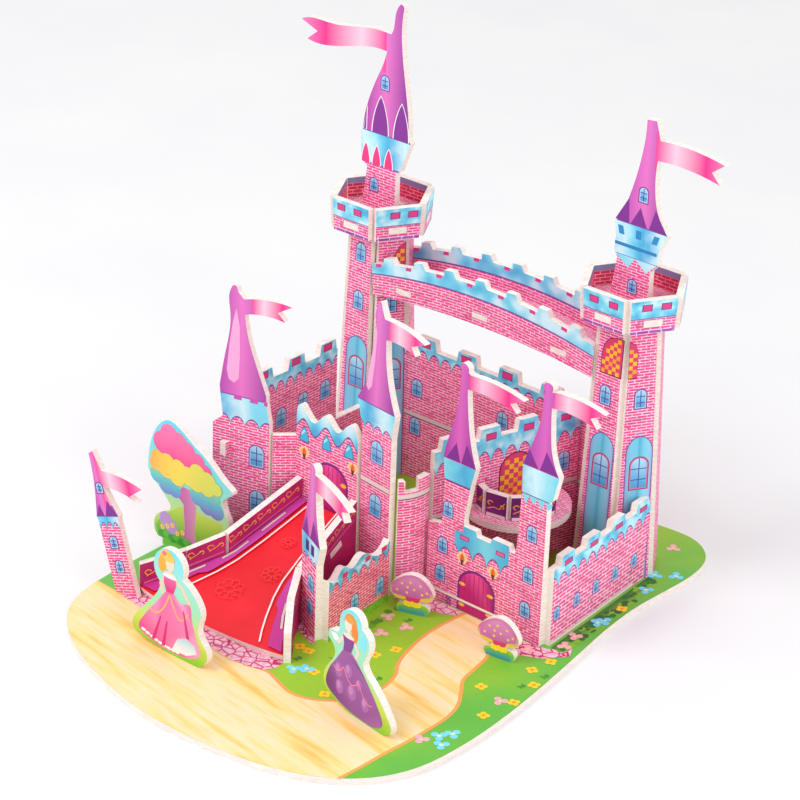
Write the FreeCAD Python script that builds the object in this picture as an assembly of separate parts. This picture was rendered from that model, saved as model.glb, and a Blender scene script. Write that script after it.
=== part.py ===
import FreeCAD, Part
import math
import os

# A castle of flat, printed foam board: cut sheets that fold, slot together and stand on a base board.
# Millimetres, +Z up. The plan is drawn about PLAN_ZERO, +X runs along the gatehouse front and +Y into
# the depth. Every sheet is drawn upright in its own plane, as run along the sheet and height, with its
# printed front facing -Y, and is then turned by its heading and moved to its place on the plan.

V = FreeCAD.Vector
UP = V(0, 0, 1)

# Sheet material and how sheets join
SHEET = 3.0
FIT = 0.15
FOLD_LAYER = 0.5
ARC_TOLERANCE = 0.12
FOOT_WIDTH = 7.0
FOOT_DEPTH = SHEET - 0.2
TAB_WIDTH = 8.0

# Point of the plan that the finished castle has as its origin
PLAN_ZERO = V(36.67, -70.57, 0)

# Main towers: six-sided, tapered, three folded panels each
TOWER_Y = 18.0
LEFT_TOWER_X = -28.6
RIGHT_TOWER_X = 103.4
TOWER_FOOT_RADIUS = 16.0
TOWER_HEAD_RADIUS = 11.2
CROWN_FLOOR_Z = 118.3
CROWN_FOOT_RADIUS = 19.2
CROWN_HEAD_RADIUS = 20.2
CROWN_BELOW_FLOOR = 2.8
CROWN_HEIGHT = 14.5
STEM_WIDTH = 8.0
STEM_DEPTH = 6.0

# Bridge between the towers
BRIDGE_MIDDLE_X = 37.1
BRIDGE_LENGTH = 117.0
BRIDGE_TOP = 110.2
BRIDGE_BOTTOM = 93.0
BRIDGE_TOP_CURVE = 240.0
BRIDGE_BOTTOM_CURVE = 435.0
BRIDGE_HALF_WIDTH = 10.7
BRIDGE_FLOOR_Z = 95.6
BRIDGE_FLOOR_CURVE = 400.0
BRIDGE_TAB_PITCH = 41.0
BRIDGE_HOOK_LOW = 92.0
BRIDGE_HOOK_HIGH = 98.0
BRIDGE_MERLON_PITCH = 16.4

# Inner walls
WALL_TOP = 66.2
MERLON_HEIGHT = 4.8
REAR_MERLON_WIDTH = 11.0
REAR_MERLON_PITCH = 22.2
REAR_MERLON_X = -5.6
BALCONY_WALL_OFFSET = V(-1.7, 4.4, 0)
BALCONY_WALL_HEADING = 73.5
BALCONY_WALL_TOP = 64.6
BALCONY_MERLON_PITCH = 18.5
BALCONY_FLOOR_Z = 32.0
BALCONY_RADIUS = 22.5
BALCONY_CENTRE_RUN = 38.7
BALCONY_CENTRE_OUT = 3.6
RAIL_RADIUS = 15.5
RAIL_HEIGHT = 10.5
RAIL_TURN = 36.0
RAIL_FIRST_HEADING = -26.0

# Courtyard wall, wing front and gate
COURT_WALL_X = -25.0
COURT_WALL_TOP = 70.2
COURT_WALL_LOW = 37.0
COURT_WALL_LENGTH = 62.0
WING_START = V(-29.8, -83.2, 0)
WING_HEADING = 15.0
WING_WIDTH = 26.0
WING_SHOULDER = 57.0
WING_SIDE_WIDTH = 9.5
WING_SIDE_HEADING = 45.0
GATE_WIDTH = 33.0
GATE_VALLEY = 66.0
GATE_CREST = 71.0
GATE_SPIRE_GAP = V(1.3, 0.8, 0)
GATE_SPIRE_HEADING = -8.0
GATE_SPIRE_WIDTH = 17.6

# Curved wall beside the gate spire
BOW_GAP = V(3.6, 1.1, 0)
BOW_MIDDLE = V(3.6, 6.6, 0)
BOW_END = V(4.0, 14.6, 0)
BOW_TOP = 56.0

# Gatehouse front and the low wall folded back from its corner
GATEHOUSE_GAP = V(2.2, -2.6, 0)
GATEHOUSE_HEADING = -1.0
GATEHOUSE_WIDTH = 59.0
SIDE_WALL_HEADING = 95.0
SIDE_WALL_LENGTH = 74.0
LOW_WALL_TOP = 37.0

# Ramp: a flared deck between two folded side walls
RAMP_OFF_CENTRE = 1.1
RAMP_REACH = 68.3
RAMP_BACK_GAP = 0.3
RAMP_SLOPE = 19.7
RAMP_RAIL_HEIGHT = 9.0
RAMP_SIDE_START = V(41.4, 2.4, 0)
RAMP_SIDE_FACES = ((129.0, 18.4), (121.0, 16.2))
RAMP_SIDE_LAST = 98.0
RAMP_TAB_RUNS = (7.0, 24.0)

# Turret sheet at the ramp's right, folded into a low wall
POST_GAP = V(1.7, -2.6, 0)
POST_HEADING = -26.0
POST_WIDTH = 14.8
FRONT_WALL_HEADING = 96.0
FRONT_WALL_LENGTH = 41.0
FRONT_WALL_TOP = 28.5

# Stand-ups at the front and side
TURRET_START = V(-25.8, -142.7, 0)
TURRET_HEADING = 12.0
TURRET_WIDTH = 9.8
TURRET_LEAN = 15.0
TREE_START = V(-50.0, -97.5, 0)
LEFT_FIGURE_START = V(23.9, -162.5, 0)
LEFT_FIGURE_HEADING = 0.0
RIGHT_FIGURE_START = V(103.4, -147.0, 0)
RIGHT_FIGURE_HEADING = -9.0
STOOL_STARTS = {"left": V(67.6, -75.2, 0), "right": V(113.9, -77.0, 0)}
STOOL_HEADINGS = {"left": 20.0, "right": 8.0}

# Flags
FLAG_WAVE = 1.2
FLAG_NOTCH = 5.0

parts = {}
base_slots = []


def smooth_arcs(points, closed):
    """A smooth line through the points, laid out in circular arcs."""
    curve = Part.BSplineCurve()
    curve.interpolate(points, PeriodicFlag=closed)
    return [arc.toShape() for arc in curve.toBiArcs(ARC_TOLERANCE)]


class Outline:
    """Closed outline of a sheet in its own plane, drawn as run (s) and height (z)."""

    def __init__(self, s, z):
        self.first = V(s, 0, z)
        self.last = self.first
        self.edges = []

    def to(self, *points):
        """Straight edges to each point in turn."""
        for s, z in points:
            end = V(s, 0, z)
            self.edges.append(Part.makeLine(self.last, end))
            self.last = end
        return self

    def through(self, *points):
        """One smooth curve through the points."""
        ends = [self.last] + [V(s, 0, z) for s, z in points]
        self.edges += smooth_arcs(ends, False)
        self.last = ends[-1]
        return self

    def sheet(self, thickness=SHEET):
        """The closed outline as a sheet with its front at y = 0."""
        if (self.last - self.first).Length > 1e-6:
            self.edges.append(Part.makeLine(self.last, self.first))
        face = Part.Face(Part.Wire(Part.__sortEdges__(self.edges)))
        return face.extrude(V(0, thickness, 0))


def back_normal(heading):
    """Direction in the plan from a sheet's front to its back."""
    turn = math.radians(heading)
    return V(-math.sin(turn), math.cos(turn), 0)


def along(heading):
    """Direction in the plan of a sheet's run."""
    turn = math.radians(heading)
    return V(math.cos(turn), math.sin(turn), 0)


def after_fold(start, heading, length, next_heading):
    """Start of the face that follows a fold in the run of a sheet."""
    front_end = start + along(heading) * length
    if next_heading < heading:
        return front_end
    return front_end + (back_normal(heading) - back_normal(next_heading)) * SHEET


def gate_start():
    side = after_fold(WING_START, WING_HEADING, WING_WIDTH, WING_SIDE_HEADING)
    return after_fold(side, WING_SIDE_HEADING, WING_SIDE_WIDTH, 0)


def gate_spire_start():
    return gate_start() + V(GATE_WIDTH, 0, 0) + GATE_SPIRE_GAP


def bow_start():
    return gate_spire_start() + along(GATE_SPIRE_HEADING) * GATE_SPIRE_WIDTH + BOW_GAP


def gatehouse_start():
    return bow_start() + BOW_END + GATEHOUSE_GAP


def ramp_back_y():
    return gate_start().y - RAMP_BACK_GAP


def ramp_front_y():
    return ramp_back_y() - RAMP_REACH


def ramp_axis_x():
    return gate_start().x + GATE_WIDTH / 2 + RAMP_OFF_CENTRE


def ramp_side_faces():
    """Start, heading and length of each face of the ramp's right wall, up to the gate."""
    corner = V(ramp_axis_x(), ramp_front_y(), 0) + RAMP_SIDE_START
    faces = []
    for heading, length in RAMP_SIDE_FACES:
        faces.append((corner, heading, length))
        corner = corner + along(heading) * length
    reach = (ramp_back_y() - corner.y) / math.sin(math.radians(RAMP_SIDE_LAST))
    faces.append((corner, RAMP_SIDE_LAST, reach))
    return faces


def placed(shape, start, heading):
    """A shape turned to its heading and moved to its start on the plan."""
    result = shape.copy()
    result.rotate(V(), UP, heading)
    result.translate(V(start.x, start.y, start.z))
    return result


def block(s0, s1, y0, y1, z0, z1):
    return Part.makeBox(s1 - s0, y1 - y0, z1 - z0, V(s0, y0, z0))


def grown_block(s0, s1, y0, y1, z0, z1):
    """The same block with the fit added all round, to cut its slot."""
    return block(s0 - FIT, s1 + FIT, y0 - FIT, y1 + FIT, z0 - FIT, z1 + FIT)


def foot(centre, start, heading, width=FOOT_WIDTH):
    """A foot below a sheet, whose slot is cut into the base board."""
    low = SHEET - FOOT_DEPTH
    size = (centre - width / 2, centre + width / 2, 0, SHEET)
    base_slots.append(placed(grown_block(*size, -1, SHEET + 1), start, heading))
    return placed(block(*size, low, SHEET + FOLD_LAYER), start, heading)


def standing(outline, start, heading, feet):
    """An upright sheet with its feet in the base board."""
    result = placed(outline.sheet().cut(block(-90, 190, -1, SHEET + 1, -20, SHEET)), start, heading)
    for centre in feet:
        result = result.fuse(foot(centre, start, heading))
    return result.removeSplitter()


def fold_layer(corner, first_heading, second_heading, height, convex):
    """The uncut layer that joins two faces at a fold, at the back of a convex fold."""
    side = -1 if convex else 1
    first = corner + back_normal(first_heading) * (side * FOLD_LAYER)
    second = corner + back_normal(second_heading) * (side * FOLD_LAYER)
    wire = Part.makePolygon([corner, first, second, corner])
    layer = Part.Face(wire).extrude(V(0, 0, height - SHEET))
    layer.translate(V(0, 0, SHEET))
    return layer


def folded(start, faces):
    """A sheet cut part through and folded. Each face is (heading, length, outline, feet, end height)."""
    result = None
    frames = []
    corner = start
    for number, (heading, length, outline, feet, fold_height) in enumerate(faces):
        frames.append((corner, heading))
        face = placed(outline.sheet(), corner, heading)
        for centre in feet:
            face = face.fuse(foot(centre, corner, heading))
        result = face if result is None else result.fuse(face)
        front_end = corner + along(heading) * length
        if number + 1 < len(faces):
            next_heading = faces[number + 1][0]
            convex = next_heading > heading
            hinge = front_end + back_normal(heading) * SHEET if convex else front_end
            result = result.fuse(fold_layer(hinge, heading, next_heading, fold_height, convex))
            corner = after_fold(corner, heading, length, next_heading)
    return result.removeSplitter(), frames


def wall(length, top, foot_z=SHEET):
    """Outline of a plain wall whose top follows the given points from left to right."""
    return Outline(0, foot_z).to(*top, (length, foot_z))


def merlons(starts, width, low, high, lead=0.8):
    """Points of the raised battlements along a top edge."""
    points = []
    for start in starts:
        points += [(start, low), (start + lead, high)]
        points += [(start + width - lead, high), (start + width, low)]
    return points


def flag(outline, root_top, top_tip, low_tip, root_low):
    """A swallow-tailed flag drawn from its upper root round to its lower root."""
    side = 1 if top_tip[0] > root_top[0] else -1

    def middle(a, b, rise):
        return ((a[0] + b[0]) / 2, (a[1] + b[1]) / 2 + rise)

    notch_s = (top_tip[0] + low_tip[0]) / 2 - side * FLAG_NOTCH
    notch_z = (top_tip[1] + low_tip[1]) / 2
    outline.to(root_top)
    outline.through(middle(root_top, top_tip, FLAG_WAVE), top_tip)
    outline.to((notch_s, notch_z), low_tip)
    outline.through(middle(low_tip, root_low, FLAG_WAVE), root_low)
    return outline


def base_board():
    """The wavy-edged board that everything stands on."""
    points = (
        (-39.5, -112), (-37.8, -140), (-31, -163), (-14, -179.5), (12, -191.5), (45, -199.4), (78, -199.4),
        (108, -194), (130, -182.5), (143.6, -164), (147.9, -140), (145.8, -98), (141.2, -66), (136.6, -38),
        (133.2, -4), (134, 30), (129.4, 47), (117, 56.4), (98, 56.6), (50, 58), (0, 59), (-34, 54), (-50, 38),
        (-53.4, 10), (-49, -30), (-42, -66),
    )
    edges = smooth_arcs([V(x, y, 0) for x, y in points], True)
    board = Part.Face(Part.Wire(edges)).extrude(V(0, 0, SHEET))
    for slot in base_slots:
        board = board.cut(slot)
    parts["base_board"] = board


def corner_point(radius, angle):
    turn = math.radians(angle)
    return V(radius * math.cos(turn), radius * math.sin(turn), 0)


def solid_between(low, high):
    """Solid between two sections with the same corners, whose sides are all flat."""
    faces = [Part.Face(Part.makePolygon(ring + [ring[0]])) for ring in (low, high)]
    for n in range(len(low)):
        m = (n + 1) % len(low)
        faces.append(Part.Face(Part.makePolygon([low[n], low[m], high[m], high[n], low[n]])))
    return Part.Solid(Part.Shell(faces))


def folded_pair_section(radius, angle, height):
    """Section of two hexagon sides folded at one corner, their V-groove opening outwards."""
    first = corner_point(radius, angle - 60)
    middle = corner_point(radius, angle)
    last = corner_point(radius, angle + 60)
    out_first = corner_point(1, angle - 30)
    out_last = corner_point(1, angle + 30)
    gap_first = (middle - first).normalize() * FIT
    gap_last = (middle - last).normalize() * FIT
    first = first + gap_first
    last = last + gap_last
    points = [
        first,
        first + out_first * SHEET,
        middle + out_first * SHEET,
        middle + out_first * FOLD_LAYER,
        middle + out_last * FOLD_LAYER,
        middle + out_last * SHEET,
        last + out_last * SHEET,
        last,
        middle,
    ]
    return [V(p.x, p.y, height) for p in points]


def tapered_pair(centre, angle, low_z, low_radius, high_z, high_radius):
    """A folded two-sided panel that leans in or out with height."""
    low = folded_pair_section(low_radius, angle, low_z)
    high = folded_pair_section(high_radius, angle, high_z)
    panel = solid_between(low, high)
    panel.translate(centre)
    return panel


def tower_room(x):
    """The room that a tower takes, with the fit round it, which walls and bridge stop at."""
    rings = []
    for height, radius in ((0, TOWER_FOOT_RADIUS), (CROWN_FLOOR_Z, TOWER_HEAD_RADIUS)):
        outer = radius + (SHEET + FIT) / math.cos(math.radians(30))
        rings.append([corner_point(outer, 60 * n) + V(0, 0, height) for n in range(6)])
    room = solid_between(*rings)
    room.translate(V(x, TOWER_Y, 0))
    return room


def side_frame(centre, radius, middle_angle):
    """Start and heading of the sheet on one hexagon side, whose inner face lies at the radius."""
    heading = middle_angle + 90
    left = corner_point(radius, middle_angle - 30)
    outward = corner_point(1, middle_angle)
    return centre + left + outward * SHEET, heading


def tower(name, x, fold_angles):
    """One main tower: its panels, crown panels and crown floor."""
    centre = V(x, TOWER_Y, 0)
    crown_low = CROWN_FLOOR_Z - CROWN_BELOW_FLOOR
    crown_high = crown_low + CROWN_HEIGHT
    share = (CROWN_FLOOR_Z + SHEET / 2 - crown_low) / CROWN_HEIGHT
    seat_radius = CROWN_FOOT_RADIUS + (CROWN_HEAD_RADIUS - CROWN_FOOT_RADIUS) * share
    floor_radius = seat_radius - 2 * FIT
    floor_wire = Part.makePolygon([corner_point(floor_radius, 60 * n) for n in range(7)])
    floor = Part.Face(floor_wire).extrude(V(0, 0, SHEET))
    reach = seat_radius * math.cos(math.radians(30))
    slots = []
    for n in range(6):
        size = (reach - 2, reach + SHEET, -TAB_WIDTH / 2, TAB_WIDTH / 2, 0, SHEET)
        tab = block(*size)
        tab.rotate(V(), UP, 60 * n + 30)
        floor = floor.fuse(tab)
        slot = grown_block(size[0], size[1] + 2, *size[2:])
        slot.rotate(V(), UP, 60 * n + 30)
        slot.translate(centre + V(0, 0, CROWN_FLOOR_Z))
        slots.append(slot)
    stem = grown_block(-STEM_WIDTH / 2, STEM_WIDTH / 2, -SHEET / 2, SHEET / 2, -1, SHEET + 1)
    floor = floor.cut(stem).removeSplitter()
    floor.translate(centre + V(0, 0, CROWN_FLOOR_Z))
    for number, angle in enumerate(fold_angles, 1):
        panel = tapered_pair(centre, angle, SHEET, TOWER_FOOT_RADIUS, CROWN_FLOOR_Z, TOWER_HEAD_RADIUS)
        for middle_angle in (angle - 30, angle + 30):
            start, heading = side_frame(centre, TOWER_FOOT_RADIUS, middle_angle)
            panel = panel.fuse(foot(TOWER_FOOT_RADIUS / 2, start, heading))
        head_start, head_heading = side_frame(centre, TOWER_HEAD_RADIUS, angle - 30)
        tab_size = (TOWER_HEAD_RADIUS / 2 - 2.5, TOWER_HEAD_RADIUS / 2 + 2.5, 0, SHEET)
        panel = panel.fuse(placed(block(*tab_size, CROWN_FLOOR_Z - 1, CROWN_FLOOR_Z + SHEET),
                                  head_start, head_heading))
        floor = floor.cut(placed(grown_block(*tab_size, CROWN_FLOOR_Z - 1, CROWN_FLOOR_Z + SHEET + 1),
                                 head_start, head_heading))
        parts[name + "_tower_panel_" + str(number)] = panel
        crown = tapered_pair(centre, angle, crown_low, CROWN_FOOT_RADIUS, crown_high, CROWN_HEAD_RADIUS)
        for slot in slots:
            crown = crown.cut(slot)
        parts[name + "_crown_panel_" + str(number)] = crown
    parts[name + "_crown_floor"] = floor


def tower_spires():
    """The two tall spire sheets that stand in the crown floors."""
    deck = CROWN_FLOOR_Z + SHEET
    half = STEM_WIDTH / 2
    foot_points = ((-half, deck), (-half, deck - STEM_DEPTH), (half, deck - STEM_DEPTH), (half, deck))
    left = Outline(-10.2, deck).to((-7.8, 139.8), (-11.2, 141.5), (-11.7, 154.8), (-10.8, 155.4))
    left.through((-8.4, 168.2), (-4.4, 178.5), (-0.4, 187.6), (1.0, 192.3))
    left.through((-11.1, 191.6), (-32.6, 186.6), (-43.2, 187.0)).to((-37.4, 191.6), (-46.6, 194.9))
    left.through((-43.4, 196.3), (-29.7, 196.9), (-10.8, 199.9), (2.9, 200.2))
    left.through((4.7, 206.5), (6.3, 212.6), (8.0, 214.2), (9.5, 212.8))
    left.through((9.2, 194.3), (12.4, 175.3), (14.0, 156.6))
    left.to((15.4, 155.6), (10.2, 141.6), (8.0, 140.6), (8.0, deck))
    left.to(*reversed(foot_points))
    right = Outline(-10.4, deck).to((-8.2, 138.0), (-10.0, 141.3), (-9.4, 147.0), (-10.6, 153.0))
    right.to((-8.4, 154.1)).through((-3.8, 166.7), (-0.3, 180.5), (1.2, 190.4), (1.5, 198.4))
    right.to((6.0, 198.8))
    flag(right, (8.4, 191.4), (38.8, 189.6), (37.2, 181.0), (7.8, 183.0))
    right.through((7.4, 172.3), (9.4, 162.5), (15.1, 153.3)).to((11.7, 146.2), (11.2, 139.6))
    right.to((8.0, 136.0), (8.0, deck))
    right.to(*reversed(foot_points))
    for name, outline, x in (("left_spire", left, LEFT_TOWER_X), ("right_spire", right, RIGHT_TOWER_X)):
        parts[name] = placed(outline.sheet(), V(x, TOWER_Y - SHEET / 2, 0), 0)


def arc_height(height, radius, run):
    """Height at a run from the middle of an arched edge."""
    return height - run * run / (2 * radius)


def bridge():
    """Two arched parapets joined by one floor, whose tabs show through the front parapet."""
    half = BRIDGE_LENGTH / 2
    tops = []
    for n in range(-4, 5):
        start = n * BRIDGE_MERLON_PITCH - 3.1
        for run, rise in ((start, 0), (start, 2.6), (start + 4.6, 2.9), (start + 6.2, 0)):
            if abs(run) < half - 1:
                tops.append((run, arc_height(BRIDGE_TOP, BRIDGE_TOP_CURVE, run) + rise))
    bottom = [(run, arc_height(BRIDGE_BOTTOM, BRIDGE_BOTTOM_CURVE, run)) for run in (half, 0, -half)]
    left_top = arc_height(BRIDGE_TOP, BRIDGE_TOP_CURVE, half)
    outline = Outline(-half, left_top).to(*tops, (half, left_top), bottom[0])
    outline.through(*bottom[1:])
    parapet = outline.sheet()
    front_y = TOWER_Y - BRIDGE_HALF_WIDTH - SHEET
    rear_y = TOWER_Y + BRIDGE_HALF_WIDTH
    inner = 2 * BRIDGE_HALF_WIDTH
    low_z = arc_height(BRIDGE_FLOOR_Z, BRIDGE_FLOOR_CURVE, half)
    low = Outline(-half, low_z).through((0, BRIDGE_FLOOR_Z), (half, low_z)).to((half, low_z + SHEET))
    low.through((0, BRIDGE_FLOOR_Z + SHEET), (-half, low_z + SHEET))
    floor = low.sheet(inner - 2 * FIT)
    floor.translate(V(0, SHEET + FIT, 0))
    front = parapet
    rear = parapet
    for n in (-1, 0, 1):
        run = n * BRIDGE_TAB_PITCH
        z = arc_height(BRIDGE_FLOOR_Z, BRIDGE_FLOOR_CURVE, run)
        size = (run - TAB_WIDTH / 2, run + TAB_WIDTH / 2)
        for y0, y1 in ((0, SHEET + 2), (SHEET + inner - 2, inner + 2 * SHEET)):
            floor = floor.fuse(block(*size, y0, y1, z + 0.3, z + SHEET - 0.3))
        slot = grown_block(*size, -1, SHEET + 1, z + 0.3, z + SHEET - 0.3)
        front = front.cut(slot)
        rear = rear.cut(slot)
    pieces = {
        "bridge_front_parapet": placed(front, V(BRIDGE_MIDDLE_X, front_y, 0), 0),
        "bridge_rear_parapet": placed(rear, V(BRIDGE_MIDDLE_X, rear_y, 0), 0),
        "bridge_floor": placed(floor.removeSplitter(), V(BRIDGE_MIDDLE_X, front_y, 0), 0),
    }
    for name, piece in pieces.items():
        for x in (LEFT_TOWER_X, RIGHT_TOWER_X):
            piece = piece.cut(tower_room(x))
        parts[name] = max(piece.Solids, key=lambda solid: solid.Volume)
    # Hooks at the parapets' ends pass through slots in the towers' inner sides
    for x, panel in ((LEFT_TOWER_X, "left_tower_panel_2"), (RIGHT_TOWER_X, "right_tower_panel_3")):
        side = 1 if x < BRIDGE_MIDDLE_X else -1
        ends = (x + side * 9.6, x + side * 16.0)
        for name, y in (("bridge_front_parapet", front_y), ("bridge_rear_parapet", rear_y)):
            size = (min(ends), max(ends), y, y + SHEET, BRIDGE_HOOK_LOW, BRIDGE_HOOK_HIGH)
            parts[panel] = parts[panel].cut(grown_block(*size))
            parts[name] = parts[name].fuse(block(*size)).removeSplitter()


def rear_wall():
    """The battlemented wall between the two towers."""
    length = RIGHT_TOWER_X - LEFT_TOWER_X
    starts = [REAR_MERLON_X - LEFT_TOWER_X + n * REAR_MERLON_PITCH for n in range(4)]
    top = [(0, WALL_TOP)] + merlons(starts, REAR_MERLON_WIDTH, WALL_TOP, WALL_TOP + MERLON_HEIGHT)
    top.append((length, WALL_TOP))
    feet = (length * 0.27, length * 0.5, length * 0.73)
    panel = standing(wall(length, top), V(LEFT_TOWER_X, TOWER_Y - SHEET / 2, 0), 0, feet)
    for x in (LEFT_TOWER_X, RIGHT_TOWER_X):
        panel = panel.cut(tower_room(x))
    parts["rear_wall"] = panel


def balcony():
    """The inner wall, the round balcony floor tabbed into it and the folded rail on the floor."""
    wall_start = gatehouse_start() + BALCONY_WALL_OFFSET
    back_corner_y = wall_start.y + back_normal(BALCONY_WALL_HEADING).y * SHEET
    rear_wall_y = TOWER_Y - SHEET / 2 - FIT
    length = (rear_wall_y - back_corner_y) / math.sin(math.radians(BALCONY_WALL_HEADING))
    starts = [n * BALCONY_MERLON_PITCH + 3.0 for n in range(4)]
    top = [(0, BALCONY_WALL_TOP)] + merlons(starts, 10.5, BALCONY_WALL_TOP, BALCONY_WALL_TOP + MERLON_HEIGHT)
    top.append((length, BALCONY_WALL_TOP))
    panel = standing(wall(length, top), wall_start, BALCONY_WALL_HEADING, (12.0, length - 14))
    panel = panel.cut(tower_room(RIGHT_TOWER_X))
    # The floor is drawn in the wall's own frame, where the room lies on the -Y side
    centre = V(BALCONY_CENTRE_RUN, -BALCONY_CENTRE_OUT, BALCONY_FLOOR_Z)
    disc = Part.makeCylinder(BALCONY_RADIUS, SHEET, centre)
    disc = disc.common(block(-20, length, -2 * BALCONY_RADIUS - 5, 0,
                             BALCONY_FLOOR_Z - 1, BALCONY_FLOOR_Z + SHEET + 1))
    for run in (BALCONY_CENTRE_RUN - 12, BALCONY_CENTRE_RUN + 12):
        size = (run - TAB_WIDTH / 2, run + TAB_WIDTH / 2)
        disc = disc.fuse(block(*size, -1, SHEET, BALCONY_FLOOR_Z, BALCONY_FLOOR_Z + SHEET))
        slot = grown_block(*size, -2, SHEET + 1, BALCONY_FLOOR_Z, BALCONY_FLOOR_Z + SHEET)
        panel = panel.cut(placed(slot, wall_start, BALCONY_WALL_HEADING))
    rail_z = BALCONY_FLOOR_Z + SHEET
    face = 2 * RAIL_RADIUS * math.sin(math.radians(RAIL_TURN / 2))
    side = -90 + RAIL_FIRST_HEADING - BALCONY_WALL_HEADING - RAIL_TURN / 2
    corner = centre + corner_point(RAIL_RADIUS, side)
    rail = None
    for n in range(4):
        heading = RAIL_FIRST_HEADING - BALCONY_WALL_HEADING + n * RAIL_TURN
        start = V(corner.x, corner.y, 0) - back_normal(heading) * SHEET
        shape = Outline(0, rail_z).to((0, rail_z + RAIL_HEIGHT), (face, rail_z + RAIL_HEIGHT), (face, rail_z))
        piece = placed(shape.sheet(), start, heading)
        middle = (face / 2 - 2, face / 2 + 2, 0, SHEET)
        piece = piece.fuse(placed(block(*middle, BALCONY_FLOOR_Z, rail_z + 0.5), start, heading))
        disc = disc.cut(placed(grown_block(*middle, BALCONY_FLOOR_Z - 1, rail_z + 0.5), start, heading))
        corner = corner + along(heading) * face
        if n < 3:
            layer = fold_layer(V(corner.x, corner.y, 0), heading, heading + RAIL_TURN,
                               RAIL_HEIGHT + SHEET, True)
            layer.translate(V(0, 0, rail_z - SHEET))
            piece = piece.fuse(layer)
        rail = piece if rail is None else rail.fuse(piece)
    room = block(-20, length, -2 * BALCONY_RADIUS, -FIT, BALCONY_FLOOR_Z - 2, rail_z + 30)
    rail = rail.common(room)
    parts["balcony_wall"] = panel
    parts["balcony_floor"] = placed(disc.removeSplitter(), wall_start, BALCONY_WALL_HEADING)
    parts["balcony_rail"] = placed(rail.removeSplitter(), wall_start, BALCONY_WALL_HEADING)


def wing_and_gate():
    """Spire front, side face and gate: one sheet folded twice, and the courtyard wall tabbed into it."""
    front = Outline(0, SHEET).to((0, WING_SHOULDER), (4.6, 61.0), (3.4, 70.5), (3.0, 74.5))
    front.through((5.6, 90), (7.6, 108.5), (7.6, 117.5), (9.2, 119.8), (11.2, 117.2))
    flag(front, (13.8, 114.6), (35.6, 115.8), (32.4, 108.4), (14.2, 108.0))
    front.through((16.0, 98), (20.2, 85), (24.4, 74.0)).to((24.4, 70.0), (WING_WIDTH, 62.0))
    front.to((WING_WIDTH, SHEET))
    side = wall(WING_SIDE_WIDTH, [(0, WING_SHOULDER), (WING_SIDE_WIDTH, WING_SHOULDER)])
    gate = Outline(0, SHEET).to((0, 62.0))
    gate.through((3.2, GATE_CREST), (9.6, GATE_VALLEY), (15.4, GATE_CREST), (21.8, GATE_VALLEY),
                 (27.6, GATE_CREST), (GATE_WIDTH, GATE_VALLEY - 1))
    gate.to((GATE_WIDTH, SHEET))
    faces = (
        (WING_HEADING, WING_WIDTH, front, (6.0, 19.0), WING_SHOULDER),
        (WING_SIDE_HEADING, WING_SIDE_WIDTH, side, (), WING_SHOULDER),
        (0.0, GATE_WIDTH, gate, (6.0, GATE_WIDTH - 6), WING_SHOULDER),
    )
    sheet, frames = folded(WING_START, faces)
    # The courtyard wall's front tab passes through the wing front
    reach = (COURT_WALL_X - WING_START.x) / math.cos(math.radians(WING_HEADING))
    behind = along(WING_HEADING) * reach + WING_START + back_normal(WING_HEADING) * SHEET
    start = V(COURT_WALL_X + SHEET, behind.y + 1.2, 0)
    tab = block(-SHEET - 3, 1, 0, SHEET, 44.0, 50.0)
    starts = (11.8, 31.4, 51.0)
    top = [(0, COURT_WALL_TOP)] + merlons(starts, 10.5, COURT_WALL_TOP, COURT_WALL_TOP + MERLON_HEIGHT)
    top += [(COURT_WALL_LENGTH, COURT_WALL_TOP), (COURT_WALL_LENGTH, COURT_WALL_LOW)]
    length = TOWER_Y - TOWER_FOOT_RADIUS - start.y
    top.append((length, COURT_WALL_LOW))
    panel = standing(wall(length, top), start, 90.0, (15.0, length - 20))
    panel = panel.fuse(placed(tab, start, 90.0)).removeSplitter().cut(tower_room(LEFT_TOWER_X))
    slot = placed(grown_block(-SHEET - 4, 1, 0, SHEET, 44.0, 50.0), start, 90.0)
    parts["wing_and_gate"] = sheet.cut(slot)
    parts["courtyard_wall"] = panel


def gate_spire():
    """The free-standing spire sheet at the right of the gate."""
    w = GATE_SPIRE_WIDTH
    outline = Outline(0, SHEET).to((0, 72.5), (-3.2, 85.3))
    outline.through((1.2, 93), (4.6, 103), (6.0, 113), (6.4, 122)).through((6.9, 128.2), (8.2, 130.0), (9.6, 127.8))
    flag(outline, (11.4, 123.6), (34.6, 121.0), (29.4, 114.2), (12.6, 115.2))
    outline.through((13.2, 104), (15.4, 94), (19.2, 84.2)).to((w, 73.5), (w, SHEET))
    parts["gate_spire"] = standing(outline, gate_spire_start(), GATE_SPIRE_HEADING, (w / 2,))


def bowed_wall():
    """The short wall bent round between the gate spire and the gatehouse."""
    start = bow_start()
    line = (start, start + BOW_MIDDLE, start + BOW_END)
    front = Part.Arc(*line).toShape()
    centre = front.Curve.Center
    back = [point + (centre - point).normalize() * SHEET for point in line]
    edges = [
        front,
        Part.makeLine(line[2], back[2]),
        Part.Arc(*reversed(back)).toShape(),
        Part.makeLine(back[0], line[0]),
    ]
    panel = Part.Face(Part.Wire(edges)).extrude(V(0, 0, BOW_TOP - SHEET))
    panel.translate(V(0, 0, SHEET))
    first = math.degrees(math.atan2(BOW_MIDDLE.y, BOW_MIDDLE.x))
    gap = block(0.5, 6.5, -3, 6, BOW_TOP - 5.2, BOW_TOP + 1)
    panel = panel.cut(placed(gap, start + along(first) * 2.2, first))
    whole = math.degrees(math.atan2(BOW_END.y, BOW_END.x))
    foot_start = back[1] - back_normal(whole) * (SHEET - 0.2)
    panel = panel.fuse(foot(0, foot_start, whole, 5.0))
    parts["bowed_wall"] = panel.removeSplitter()


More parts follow.
